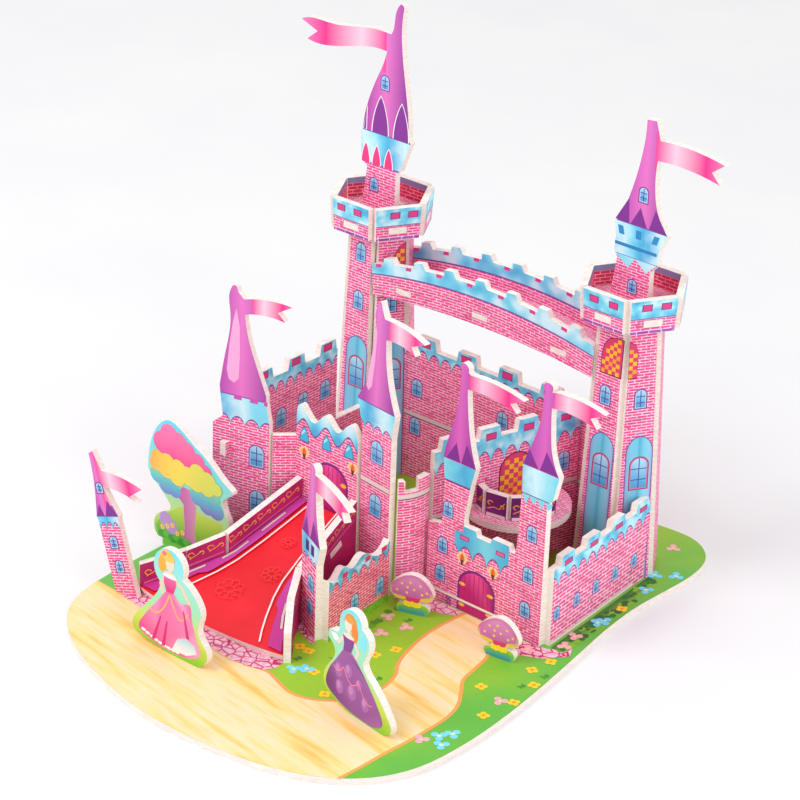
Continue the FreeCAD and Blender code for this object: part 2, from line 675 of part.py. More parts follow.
def gatehouse():
    """Gatehouse front with two spires, folded at its corner into the low side wall."""
    front = Outline(0, SHEET).to((0, 36.5), (6.9, 38.0), (7.4, 57.8), (6.4, 68.4))
    front.through((8.8, 78), (12.0, 90), (13.2, 100), (13.4, 108)).through((14.2, 111.0), (16.0, 110.6), (17.0, 107.8))
    flag(front, (18.6, 107.0), (45.0, 105.0), (41.6, 98.6), (17.0, 100.6))
    front.through((17.6, 92), (19.4, 80), (23.0, 67.8)).to((20.8, 59.2), (18.2, 43.6), (18.6, 41.0), (24.6, 41.0))
    front.to((25.4, 38.6), (32.2, 38.6), (33.0, 41.0), (41.4, 41.0), (42.2, 38.8), (44.6, 38.8), (45.4, 43.0))
    front.to((46.4, 68.2), (46.0, 79.8)).through((49.6, 88), (52.8, 98), (54.0, 106), (54.4, 113))
    front.through((55.2, 116.6), (57.0, 116.8), (58.2, 113.4))
    flag(front, (59.8, 114.0), (83.6, 112.6), (80.0, 105.6), (58.4, 107.0))
    front.through((58.6, 98), (60.0, 88), (64.0, 78.8)).to((61.6, 68.4), (GATEHOUSE_WIDTH, 66.0))
    front.to((GATEHOUSE_WIDTH, SHEET))
    starts = [n * 18.6 + 5.0 for n in range(4)]
    top = [(0, LOW_WALL_TOP)] + merlons(starts, 10.2, LOW_WALL_TOP, LOW_WALL_TOP + 3.6)
    top.append((SIDE_WALL_LENGTH, LOW_WALL_TOP))
    side = wall(SIDE_WALL_LENGTH, top)
    faces = (
        (GATEHOUSE_HEADING, GATEHOUSE_WIDTH, front, (8.0, GATEHOUSE_WIDTH - 8), LOW_WALL_TOP),
        (SIDE_WALL_HEADING, SIDE_WALL_LENGTH, side, (14.0, SIDE_WALL_LENGTH - 14), LOW_WALL_TOP),
    )
    sheet, frames = folded(gatehouse_start(), faces)
    parts["gatehouse_and_side_wall"] = sheet.cut(tower_room(RIGHT_TOWER_X))


def deck_height(y):
    """Height of the ramp deck's printed top above the plan."""
    slope = math.radians(RAMP_SLOPE)
    return SHEET + SHEET / math.cos(slope) + (y - ramp_front_y()) * math.tan(slope)


def ramp():
    """Flared deck between two folded side walls that carry it on tabs."""
    slope = math.radians(RAMP_SLOPE)
    front_y = ramp_front_y()
    back_y = ramp_back_y()
    axis_x = ramp_axis_x()
    mirror = (V(axis_x, 0, 0), V(1, 0, 0))
    faces = []
    line = []
    room = []
    for corner, heading, length in ramp_side_faces():
        end = corner + along(heading) * length
        top = [(run, deck_height(point.y) + RAMP_RAIL_HEIGHT) for run, point in ((0, corner), (length, end))]
        faces.append((heading, length, wall(length, top), (length / 2,), top[1][1]))
        line.append(corner + back_normal(heading) * (SHEET + FIT))
        room.append(placed(block(0, length, -20, SHEET + FIT, 0, 60), corner, heading))
    # Deck outline in its own tilted plane: front corners, side folds, then the gate end
    line.append(line[-1] + along(RAMP_SIDE_LAST) * ((back_y - line[-1].y) / math.sin(math.radians(RAMP_SIDE_LAST))))
    right = [V(p.x - axis_x, (p.y - front_y) / math.cos(slope), 0) for p in line]
    right[0].y = max(right[0].y, 1.4)
    left = [V(-p.x, p.y, 0) for p in reversed(right)]
    edges = [Part.makeLine(a, b) for a, b in zip(right, right[1:])]
    edges.append(Part.makeLine(right[-1], left[0]))
    edges += [Part.makeLine(a, b) for a, b in zip(left, left[1:])]
    edges.append(Part.Arc(left[-1], V(0, -1.6, 0), right[0]).toShape())
    deck = Part.Face(Part.Wire(edges)).extrude(V(0, 0, SHEET))
    deck.rotate(V(), V(1, 0, 0), RAMP_SLOPE)
    deck.translate(V(axis_x, front_y, SHEET))
    deck = deck.common(block(-60, 100, -200, back_y, SHEET, 60))
    for keep_out in room:
        deck = deck.cut(keep_out).cut(keep_out.mirror(*mirror))
    side, frames = folded(ramp_side_faces()[0][0], faces)
    for slot in base_slots[-len(faces):]:
        base_slots.append(slot.mirror(*mirror))
    # Tabs of the deck stand through both side walls
    start, heading = frames[-1]
    tilt = math.degrees(math.atan(math.tan(slope) * math.sin(math.radians(heading))))
    for run in RAMP_TAB_RUNS:
        middle = start + along(heading) * run
        z = deck_height(middle.y) - SHEET / math.cos(slope)
        size = (run - TAB_WIDTH / 2, run + TAB_WIDTH / 2)
        tab = block(*size, 0, SHEET + 1.6, z + 0.2, z + SHEET)
        slot = grown_block(*size, -1, SHEET + 1, z + 0.2, z + SHEET)
        for shape in (tab, slot):
            shape.rotate(V(run, 0, z), V(0, -1, 0), tilt)
        tab = placed(tab, start, heading)
        deck = deck.fuse(tab).fuse(tab.mirror(*mirror))
        side = side.cut(placed(slot, start, heading))
    parts["ramp_deck"] = deck.removeSplitter()
    parts["ramp_right_wall"] = side
    parts["ramp_left_wall"] = side.mirror(*mirror)


def post_and_front_wall():
    """Small spire sheet folded back into the low wavy-topped wall beside the ramp."""
    w = POST_WIDTH
    post = Outline(0, SHEET).to((0, 36.0), (-0.8, 45.6))
    post.through((2.6, 54), (5.4, 64), (6.8, 74)).through((8.0, 77.6), (10.2, 77.6), (11.4, 74.4))
    flag(post, (13.0, 74.6), (45.0, 74.8), (41.0, 68.4), (12.6, 67.6))
    post.through((13.0, 62), (14.6, 54), (18.0, 45.2)).to((w, 36.0), (w, SHEET))
    low = Outline(0, SHEET).to((0, FRONT_WALL_TOP + 1.5))
    low.through((4.0, FRONT_WALL_TOP), (9.5, FRONT_WALL_TOP + 3.4), (15.5, FRONT_WALL_TOP + 0.6),
                (22.0, FRONT_WALL_TOP + 3.6), (29.0, FRONT_WALL_TOP + 0.4), (FRONT_WALL_LENGTH, FRONT_WALL_TOP + 2.4))
    low.to((FRONT_WALL_LENGTH, SHEET))
    faces = (
        (POST_HEADING, POST_WIDTH, post, (8.0,), FRONT_WALL_TOP + 1.5),
        (FRONT_WALL_HEADING, FRONT_WALL_LENGTH, low, (9.0, FRONT_WALL_LENGTH - 9), FRONT_WALL_TOP),
    )
    start = ramp_side_faces()[2][0] + POST_GAP
    sheet, frames = folded(start, faces)
    parts["post_and_front_wall"] = sheet


def leaning_turret():
    """Narrow turret sheet that leans to the left of its foot."""
    w = TURRET_WIDTH
    outline = Outline(0, -6).to((0, 36.0), (-0.4, 37.2))
    outline.through((1.6, 47), (2.8, 56), (3.2, 64.6)).to((5.2, 65.4))
    flag(outline, (7.4, 57.0), (24.8, 49.0), (21.4, 43.0), (6.2, 50.4))
    outline.through((7.4, 46), (w + 0.6, 37.0)).to((w, 35.8), (w, -6))
    sheet = outline.sheet()
    sheet.rotate(V(w / 2, 0, SHEET), V(0, -1, 0), TURRET_LEAN)
    ground = block(-60, 60, -10, 20, -20, SHEET)
    sheet = placed(sheet.cut(ground), TURRET_START, TURRET_HEADING)
    sheet = sheet.fuse(foot(w / 2, TURRET_START, TURRET_HEADING, 6.0))
    parts["leaning_turret"] = sheet.removeSplitter()


def tree():
    """Cut-out tree on a grassy foot."""
    outline = Outline(3.0, SHEET).through((0.5, 8.0), (3.4, 14.0), (10.0, 18.6), (5.0, 25.0), (-2.8, 34.3))
    outline.through((-1.6, 44.0), (2.6, 53.6), (8.7, 58.6), (16.1, 56.6), (26.3, 50.6))
    outline.through((34.6, 45.4), (40.8, 40.6), (45.0, 37.6), (40.2, 33.4), (42.6, 24.0), (38.0, 12.0))
    outline.through((33.6, 6.4), (28.0, SHEET))
    parts["tree"] = standing(outline, TREE_START, 0, (9.0, 22.0))


def left_figure():
    """Stand-up of a gowned figure with one arm held out."""
    outline = Outline(-2, SHEET).through((-10, 4.2), (-20.5, 8.0), (-17.0, 16.0), (-9.0, 25.0), (-5.0, 33.0))
    outline.through((-8.5, 39.0), (-7.0, 46.0), (-1.0, 50.2), (5.0, 46.6), (6.4, 38.0))
    outline.through((12.0, 34.0), (16.5, 26.0), (15.0, 18.0), (20.0, 10.0), (17.0, 4.4), (9.0, SHEET))
    parts["left_figure"] = standing(outline, LEFT_FIGURE_START, LEFT_FIGURE_HEADING, (3.5,))


def right_figure():
    """Stand-up of a gowned figure holding up a fan."""
    outline = Outline(0, SHEET).through((-8.0, 5.0), (-15.8, 9.6), (-14.6, 17.0), (-9.8, 24.6), (-13.8, 30.6))
    outline.through((-12.4, 34.4), (-8.6, 34.8), (-7.4, 41.0), (-3.0, 46.8), (3.2, 46.4), (5.4, 42.0))
    outline.through((9.6, 38.0), (9.0, 33.0), (6.6, 27.6), (12.4, 21.0), (19.8, 13.6), (23.6, 7.4), (18.0, SHEET))
    parts["right_figure"] = standing(outline, RIGHT_FIGURE_START, RIGHT_FIGURE_HEADING, (8.0,))


def flower_stools():
    """Two flower tufts on stalks with turf feet."""
    for name, start in STOOL_STARTS.items():
        outline = Outline(-1.6, SHEET).through((-2.6, 5.6), (1.4, 7.6)).to((1.4, 9.4))
        outline.through((-3.6, 9.8), (-5.6, 12.4), (-1.4, 18.6), (4.4, 20.6), (11.4, 16.2), (12.8, 12.0), (7.4, 9.6))
        outline.to((7.2, 8.0)).through((11.0, 6.6), (10.2, SHEET))
        parts["flower_stool_" + name] = standing(outline, start, STOOL_HEADINGS[name], (4.4,))


tower("left", LEFT_TOWER_X, (-120, 0, 120))
tower("right", RIGHT_TOWER_X, (-60, 60, 180))
tower_spires()
bridge()
rear_wall()
balcony()
wing_and_gate()
gate_spire()
bowed_wall()
gatehouse()
ramp()
post_and_front_wall()
leaning_turret()
tree()
left_figure()
right_figure()
flower_stools()
base_board()

os.makedirs("parts", exist_ok=True)
for name, shape in sorted(parts.items()):
    shape.translate(PLAN_ZERO * -1)
    shape.exportStep("parts/" + name + ".step")
    print(name, len(shape.Solids), round(shape.Volume / 1000, 2), shape.isValid())
everything = Part.makeCompound(list(parts.values()))
print(everything.BoundBox)
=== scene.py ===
import math
import random

import bpy
from mathutils import Matrix, Vector


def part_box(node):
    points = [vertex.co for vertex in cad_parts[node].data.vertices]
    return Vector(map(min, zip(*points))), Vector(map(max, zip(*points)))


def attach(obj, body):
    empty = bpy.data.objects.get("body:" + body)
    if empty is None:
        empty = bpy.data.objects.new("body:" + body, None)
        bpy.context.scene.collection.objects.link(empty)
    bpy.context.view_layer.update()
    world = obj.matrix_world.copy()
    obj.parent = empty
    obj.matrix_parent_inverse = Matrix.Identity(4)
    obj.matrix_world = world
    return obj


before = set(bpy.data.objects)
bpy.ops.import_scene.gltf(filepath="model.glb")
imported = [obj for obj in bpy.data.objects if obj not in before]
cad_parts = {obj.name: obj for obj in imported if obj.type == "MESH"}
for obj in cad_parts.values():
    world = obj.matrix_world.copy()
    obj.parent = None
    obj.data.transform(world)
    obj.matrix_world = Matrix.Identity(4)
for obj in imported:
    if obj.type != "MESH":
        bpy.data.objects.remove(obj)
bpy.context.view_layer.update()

# A small castle of flat, printed foam board on a pale floor.
# Plan places are in millimetres, and ZERO is the plan place of the frame's origin.
# A print is drawn in millimetres too, as run along its sheet and height.

ZERO = (36.67, -70.57)
SHEET = 3.0
TOWER_Y = 18.0
TOWERS = {"left": -28.6, "right": 103.4}
TOWER_TILT, CROWN_TILT = 2.1, -3.4
SLOPE = 19.7
RAIL_CENTRE, RAIL_HEADINGS = (77.7, -17.1), (-26, 10, 46, 82)
TURRET_LEAN, TURRET_FOOT = 15.0, 4.9
# Height at which print on the upright sheets begins
FOOT = 3.2
# Lift of the lowest printed shapes over their sheet, and of each further level
PRINT_LIFT, LEVEL_STEP = 0.03, 0.012
CAMERA_TURNS, CAMERA_DISTANCE, CAMERA_AIM = (39.7, 25.9, 2.15), 1.27, 0.048
random.seed(7)

# Print colours, 0 to 255
BRICK_DEEP = (206, 48, 116)
BRICK_MID = (246, 88, 158)
BRICK_MORTAR = (255, 218, 232)
CYAN = (126, 216, 240)
CYAN_DEEP = (72, 176, 222)
CYAN_PALE = (206, 240, 250)
PURPLE_DARK = (120, 44, 140)
INK_LINE = (104, 70, 160)
GOLD = (250, 186, 44)
WHITE = (252, 250, 250)
BAND_LINE = (126, 62, 150)
COURSE = (232, 214, 214)
COURSE_LINE = (96, 62, 84)
SPIKE = (128, 46, 146)
ROOF_GLOW = (240, 168, 216)
DEEP_ARCH = (134, 48, 150)

# Sheets: node, heading and where the run starts on the plan
SHEETS = {
    "wing": ("wing_and_gate", 15, (-29.8, -83.2)),
    "gate": ("wing_and_gate", 0, (2.8, -69.0)),
    "courtyard": ("courtyard_wall", 90, (-22.0, -77.8)),
    "gate_spire": ("gate_spire", -8, (37.5, -68.2)),
    "gatehouse": ("gatehouse_and_side_wall", -1, (65.0, -57.6)),
    "side": ("gatehouse_and_side_wall", 95, (127.03, -55.37)),
    "post": ("post_and_front_wall", -26, (44.2, -109.6)),
    "low": ("post_and_front_wall", 96, (61.8, -113.08)),
    "rear": ("rear_wall", 0, (0.0, 16.5)),
    "balcony": ("balcony_wall", 73.5, (63.3, -53.2)),
    "turret": ("leaning_turret", 12, (-25.8, -142.7)),
    "tree": ("tree", 0, (-50.0, -97.5)),
    "left_figure": ("left_figure", 0, (23.9, -162.5)),
    "right_figure": ("right_figure", -9, (103.4, -147.0)),
    "left_stool": ("flower_stool_left", 20, (67.6, -75.2)),
    "right_stool": ("flower_stool_right", 8, (113.9, -77.0)),
    "left_spire": ("left_spire", 0, (TOWERS["left"], 16.5)),
    "right_spire": ("right_spire", 0, (TOWERS["right"], 16.5)),
}


def metres(x, y, z=0.0):
    """Place in the frame of plan millimetres."""
    return Vector(((x - ZERO[0]) / 1000, (y - ZERO[1]) / 1000, z / 1000))


def linear(colour):
    """Scene-linear colour of a print colour."""
    out = []
    for value in colour:
        v = value / 255
        out.append(v / 12.92 if v <= 0.04045 else ((v + 0.055) / 1.055) ** 2.4)
    return out


def blend(a, b, t):
    t = min(max(t, 0.0), 1.0)
    return tuple(p + (q - p) * t for p, q in zip(a, b))


def ramp_of(*stops):
    """Colour as a function of one number, from (number, colour) stops."""
    def colour(value):
        for (v0, c0), (v1, c1) in zip(stops, stops[1:]):
            if value <= v1:
                return blend(c0, c1, (value - v0) / (v1 - v0))
        return stops[-1][1]
    return colour


def along(axis, *stops):
    """Colour of a printed shape that changes with its run (axis 0) or its height (axis 1)."""
    colour = ramp_of(*stops)
    return lambda *place: colour(place[axis])


class Net:
    """A shader being drawn: numbers, colours and sockets go in and sockets come out."""

    def __init__(self, name):
        self.material = bpy.data.materials.new(name)
        self.material.use_nodes = True
        self.tree = self.material.node_tree
        self.tree.nodes.clear()
        self.object_point = self.add("ShaderNodeTexCoord").outputs["Object"]

    def add(self, kind, values=(), **settings):
        node = self.tree.nodes.new(kind)
        for key, value in settings.items():
            setattr(node, key, value)
        for key, value in dict(values).items():
            self.put(value, node.inputs[key])
        return node

    def put(self, value, socket):
        if isinstance(value, bpy.types.NodeSocket):
            self.tree.links.new(value, socket)
        elif isinstance(value, (tuple, list)) and socket.type == "RGBA":
            socket.default_value = linear(value) + [1.0]
        else:
            socket.default_value = value

    def math(self, operation, *values):
        node = self.add("ShaderNodeMath", enumerate(values), operation=operation)
        return node.outputs[0]

    def plus(self, *values):
        total = values[0]
        for value in values[1:]:
            total = self.math("ADD", total, value)
        return total

    def times(self, *values):
        total = values[0]
        for value in values[1:]:
            total = self.math("MULTIPLY", total, value)
        return total

    def over(self, a, b):
        """1 where a is above b, with a soft edge."""
        return self.add("ShaderNodeMapRange", {0: self.math("SUBTRACT", a, b), 1: -0.12, 2: 0.12}).outputs[0]

    def between(self, a, low, high):
        return self.times(self.over(a, low), self.over(high, a))

    def near(self, a, b, width):
        return self.over(width, self.math("ABSOLUTE", self.math("SUBTRACT", a, b)))

    def ease(self, a, low, high):
        return self.add("ShaderNodeMapRange", {0: a, 1: low, 2: high}, interpolation_type="SMOOTHSTEP").outputs[0]

    def mix(self, factor, a, b):
        node = self.add("ShaderNodeMix", {0: factor, 6: a, 7: b}, data_type="RGBA")
        return node.outputs[2]

    def stops(self, value, *stops):
        """Colour ramp over (number, colour) stops."""
        low, high = stops[0][0], stops[-1][0]
        scaled = self.add("ShaderNodeMapRange", {0: value, 1: low, 2: high}).outputs[0]
        node = self.add("ShaderNodeValToRGB", {0: scaled})
        elements = node.color_ramp.elements
        while len(elements) < len(stops):
            elements.new(0.5)
        for element, (number, colour) in zip(elements, stops):
            element.position = (number - low) / (high - low)
            element.color = linear(colour) + [1.0]
        return node.outputs[0]

    def noise(self, vector, scale, detail=2.0):
        return self.add("ShaderNodeTexNoise", {"Vector": vector, "Scale": scale, "Detail": detail}).outputs[0]

    def vector(self, x, y, z=0.0):
        return self.add("ShaderNodeCombineXYZ", {0: x, 1: y, 2: z}).outputs[0]

    def dot(self, vector, direction):
        return self.add("ShaderNodeVectorMath", {0: vector, 1: direction}, operation="DOT_PRODUCT").outputs["Value"]

    def height(self):
        return self.dot(self.object_point, (0, 0, 1000))

    def plan(self):
        """Plan coordinates in millimetres."""
        x = self.math("ADD", self.dot(self.object_point, (1000, 0, 0)), ZERO[0])
        y = self.math("ADD", self.dot(self.object_point, (0, 1000, 0)), ZERO[1])
        return x, y

    def run(self, start, heading):
        """Distance along a sheet from its start, in millimetres."""
        c, s = math.cos(math.radians(heading)), math.sin(math.radians(heading))
        along = self.dot(self.object_point, (1000 * c, 1000 * s, 0))
        return self.math("ADD", along, (ZERO[0] - start[0]) * c + (ZERO[1] - start[1]) * s)

    def sheet(self, key):
        node, heading, start = SHEETS[key]
        return self.run(start, heading)

    def own_run(self):
        """Distance along any upright face, from the way the face looks."""
        normal = self.add("ShaderNodeNewGeometry").outputs["True Normal"]
        split = self.add("ShaderNodeSeparateXYZ", {0: normal})
        x, y = self.dot(self.object_point, (1000, 0, 0)), self.dot(self.object_point, (0, 1000, 0))
        return self.plus(self.times(split.outputs[0], y), self.times(split.outputs[1], x, -1.0))

    def bricks(self, s, z, deep=BRICK_DEEP, mid=BRICK_MID, mortar=BRICK_MORTAR, length=4.3, row=1.22, gap=0.2):
        """Printed brickwork: short bricks, pale broken joints and darker patches."""
        place = self.vector(self.plus(s, self.times(self.noise(self.vector(s, z), 0.3), 1.6)), z)
        node = self.add("ShaderNodeTexBrick", {
            "Vector": place, "Color1": mid, "Color2": blend(mid, deep, 0.55), "Mortar": mortar, "Scale": 1.0,
            "Mortar Size": gap, "Mortar Smooth": 0.15, "Bias": -0.15, "Brick Width": length, "Row Height": row})
        joint = self.times(node.outputs["Fac"],
                           self.ease(self.noise(self.vector(s, self.times(z, 3.0)), 0.45), 0.3, 0.46))
        whole = self.mix(joint, self.mix(node.outputs["Fac"], node.outputs["Color"], blend(mid, deep, 0.4)), mortar)
        patch = self.ease(self.noise(self.vector(self.times(s, 0.5), z), 0.22), 0.5, 0.66)
        return self.mix(self.times(patch, 0.35), whole, deep)

    def finish(self, colour, rough=0.48, grain=0.12, fine=1.0):
        """Print on paper-faced foam: slight mottling, roughness that varies and a fine paper grain."""
        speck = self.noise(self.object_point, 2600.0, 3.0)
        cloud = self.noise(self.object_point, 90.0, 2.0)
        tone = self.plus(1.0 - 0.05 * fine, self.times(cloud, 0.06 * fine), self.times(speck, 0.04 * fine))
        shade = self.add("ShaderNodeVectorMath", {0: colour, 1: self.vector(tone, tone, tone)}, operation="MULTIPLY")
        bump = self.add("ShaderNodeBump", {"Strength": grain, "Distance": 0.00006, "Height": speck})
        surface = self.add("ShaderNodeBsdfPrincipled", {
            "Base Color": shade.outputs[0], "Roughness": self.plus(rough - 0.06, self.times(cloud, 0.14)),
            "Specular IOR Level": 0.35, "Normal": bump.outputs[0]})
        self.add("ShaderNodeOutputMaterial", {"Surface": surface.outputs[0]})
        return self.material


def foam_edge():
    """Cut edge of the board: a fine-celled core with faint streaks."""
    net = Net("foam_edge")
    point = net.object_point
    cells = net.noise(point, 1500.0, 4.0)
    streak = net.noise(net.add("ShaderNodeVectorMath", {0: point, 1: (260, 260, 2400)},
                               operation="MULTIPLY").outputs[0], 1.0)
    colour = net.mix(net.ease(streak, 0.3, 0.7), (252, 243, 236), (238, 222, 214))
    colour = net.mix(net.times(net.ease(cells, 0.45, 0.7), 0.35), colour, (222, 200, 192))
    return net.finish(colour, rough=0.62, grain=0.5)


def brick_print(name, level=False, **colours):
    net = Net(name)
    s, z = net.plan() if level else (net.own_run(), net.height())
    return net.finish(net.bricks(s, z, **colours))


def contour_print(name, low, high, *colours):
    """Border colour of a stand-up piece, from its foot to its head."""
    net = Net(name)
    x, y = net.plan()
    z = net.plus(net.height(), net.times(net.noise(net.vector(x, y, net.height()), 0.12), 5.0))
    count = len(colours) - 1
    return net.finish(net.stops(z, *[(low + (high - low) * n / count, colour) for n, colour in enumerate(colours)]))


def scallop(net, s, low, high, pitch, offset):
    """Lower edge of a battlement's blue band: round brick arches between thin drips."""
    wave = net.math("ABSOLUTE", net.math("SINE", net.times(net.plus(s, -offset), math.pi / pitch)))
    return net.plus(low, net.times(net.math("POWER", wave, 0.55), high - low))


def battlement(name, key, low, high, pitch, offset, merlons, string=None, **sizes):
    """Wall print: brickwork, a blue scalloped band at the top, pink slots in the merlons and a grey string course."""
    net = Net(name)
    s, z = net.sheet(key), net.height()
    colour = net.bricks(s, z, **sizes)
    if string:
        colour = net.mix(net.between(z, string - 1.0, string + 1.0), colour, (224, 206, 208))
        colour = net.mix(net.near(z, string - 1.1, 0.22), colour, COURSE_LINE)
    edge = scallop(net, s, low, high, pitch, offset)
    sky = net.stops(net.noise(net.vector(s, z), 0.16), (0.3, CYAN_DEEP), (0.5, CYAN), (0.68, CYAN_PALE))
    colour = net.mix(net.over(z, edge), colour, sky)
    colour = net.mix(net.near(z, edge, 0.34), colour, BAND_LINE)
    first, step, z0, z1, width = merlons
    phase = net.times(net.math("FRACT", net.times(net.plus(s, -first), 1 / step)), step)
    slot = net.times(net.near(phase, width / 2, width / 2), net.between(z, z0, z1))
    rim = net.times(net.near(phase, width / 2, width / 2 + 0.4), net.between(z, z0 - 0.4, z1 + 0.4))
    colour = net.mix(rim, colour, (120, 40, 120))
    return net.finish(net.mix(slot, colour, (224, 58, 128)))


def bridge_print():
    net = Net("bridge_wall")
    x, y = net.plan()
    z = net.height()
    off = net.plus(x, -37.1)
    edge = net.plus(104.8, net.times(off, off, -1 / 530))
    colour = net.bricks(x, net.plus(z, net.times(off, off, 1 / 600)))
    sky = net.stops(net.noise(net.vector(x, z), 0.09, 1.0), (0.3, CYAN_DEEP), (0.48, CYAN), (0.62, CYAN_PALE))
    colour = net.mix(net.over(z, edge), colour, sky)
    colour = net.mix(net.near(z, edge, 0.3), colour, INK_LINE)
    top = net.plus(110.2, net.times(off, off, -1 / 480))
    phase = net.times(net.math("FRACT", net.times(net.plus(x, 3.1), 1 / 16.4)), 16.4)
    slot = net.times(net.near(phase, 1.5, 1.5), net.between(net.plus(z, net.times(top, -1.0)), -1.6, 1.2))
    return net.finish(net.mix(slot, colour, (224, 58, 140)))


def spire_print(name, key, band, roof_run, flag_run, flag_z, side=1, drips=None, lean=0.0, **sizes):
    """Spire sheet: brick stem, blue band, purple roof with a lit middle, and a pink flag with a pale middle."""
    net = Net(name)
    s, z = net.sheet(key), net.height()
    if lean:
        c, t = math.cos(math.radians(lean)), math.sin(math.radians(lean))
        across, above = net.plus(s, -TURRET_FOOT), net.plus(z, -SHEET)
        s = net.plus(TURRET_FOOT, net.times(across, c), net.times(above, t))
        z = net.plus(SHEET, net.times(across, -t), net.times(above, c))
    colour = net.bricks(s, z, **sizes)
    sky = net.stops(net.plus(net.times(s, 0.5), net.times(net.noise(net.vector(s, z), 0.12), 6.0)),
                    (-5, CYAN_DEEP), (-1, CYAN_PALE), (2, CYAN), (5, CYAN_DEEP), (9, CYAN_PALE), (13, CYAN))
    roof = net.stops(s, *zip(roof_run, ((176, 70, 170), (226, 116, 196), (150, 58, 158))))
    edge = scallop(net, s, *drips) if drips else band[0]
    colour = net.mix(net.over(z, edge), colour, sky)
    colour = net.mix(net.near(z, edge, 0.3), colour, INK_LINE)
    colour = net.mix(net.over(z, band[1]), colour, roof)
    colour = net.mix(net.near(z, band[1], 0.22), colour, INK_LINE)
    tail = net.times(net.over(net.times(s, side), flag_run[0] * side), net.over(z, flag_z))
    cloth = net.stops(net.times(net.plus(s, -flag_run[0]), side / abs(flag_run[1] - flag_run[0])),
                      (0.0, (240, 60, 150)), (0.3, (253, 202, 222)), (0.75, (240, 44, 140)), (1.0, (246, 120, 180)))
    return net.finish(net.mix(tail, colour, cloth))


def plain_print(name, colour, second, scale):
    net = Net(name)
    x, y = net.plan()
    tone = net.noise(net.vector(x, y, net.height()), scale)
    return net.finish(net.mix(net.ease(tone, 0.35, 0.65), colour, second))


def grass_print():
    net = Net("grass")
    x, y = net.plan()
    side = net.plus(x, net.times(net.noise(net.vector(x, y), 0.03), 60.0))
    colour = net.mix(net.ease(side, 128, 176), (152, 196, 44), (98, 184, 66))
    colour = net.mix(net.ease(net.times(x, -1.0), 5, 40), colour, (108, 190, 80))
    blades = net.noise(net.vector(net.times(x, 0.5), y), 0.6, 3.0)
    return net.finish(net.mix(net.times(net.ease(blades, 0.55, 0.75), 0.25), colour, (92, 168, 52)))


def sand_print():
    net = Net("sand")
    x, y = net.plan()
    turn = math.radians(8)
    a = net.plus(net.times(x, math.cos(turn)), net.times(y, -math.sin(turn)))
    b = net.plus(net.times(x, math.sin(turn)), net.times(y, math.cos(turn)))
    streak = net.noise(net.vector(net.times(a, 0.018), net.times(b, 0.16)), 1.0, 4.0)
    colour = net.stops(streak, (0.3, (246, 186, 92)), (0.43, (252, 216, 140)), (0.55, (251, 224, 182)),
                       (0.7, (249, 210, 128)))
    return net.finish(colour)


def paving_print():
    """Pale pink flags with crimson joints."""
    net = Net("paving")
    x, y = net.plan()
    place = net.vector(x, y)
    joint = net.add("ShaderNodeTexVoronoi", {"Vector": place, "Scale": 0.24},
                    feature="DISTANCE_TO_EDGE").outputs["Distance"]
    flags = net.mix(net.ease(net.noise(place, 0.5, 3.0), 0.35, 0.65), (250, 206, 222), (238, 160, 190))
    return net.finish(net.mix(net.ease(joint, 0.03, 0.09), (200, 36, 96), flags))


def ink_print():
    """Takes the colour drawn at each corner of a printed shape."""
    net = Net("print_ink")
    return net.finish(net.add("ShaderNodeAttribute", attribute_name="ink").outputs["Color"])


FOAM = foam_edge()
BRICK = brick_print("brick_wall")
BRICK_DARK = brick_print("brick_inside", deep=(170, 20, 76), mid=(226, 62, 116), mortar=(250, 170, 196))
INK = ink_print()


class Face:
    """A flat side of a node, as run and height."""

    def __init__(self, node, heading, start, tilt=0.0):
        h, t = math.radians(heading), math.radians(tilt)
        want = Vector((math.sin(h) * math.cos(t), -math.cos(h) * math.cos(t), math.sin(t)))
        groups = {}
        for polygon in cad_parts[node].data.polygons:
            if polygon.normal.dot(want) > 0.99:
                offset = polygon.center.dot(polygon.normal)
                entry = groups.setdefault(round(offset * 5000), [0.0, Vector(), 0.0])
                entry[0] += polygon.area
                entry[1] += polygon.normal * polygon.area
                entry[2] += offset * polygon.area
        area, normal, offset = max(groups.values(), key=lambda entry: entry[0])
        self.normal = normal.normalized()
        self.placed = []
        self.along = Vector((-self.normal.y, self.normal.x, 0)).normalized()
        self.up = self.normal.cross(self.along)
        base = metres(*start)
        flat = Vector((self.normal.x, self.normal.y, 0))
        self.origin = base + flat * ((offset / area - base.dot(self.normal)) / flat.length_squared)

    def point(self, s, z, lift):
        return self.origin + (self.along * s + self.up * z + self.normal * lift) / 1000


class Deck:
    """A level or sloping top side, as plan x and y."""

    def __init__(self, height, slope=0.0, line=0.0):
        self.height, self.slope, self.line = height, math.tan(math.radians(slope)), line
        self.placed = []

    def point(self, x, y, lift):
        return metres(x, y, self.height + (y - self.line) * self.slope + lift)


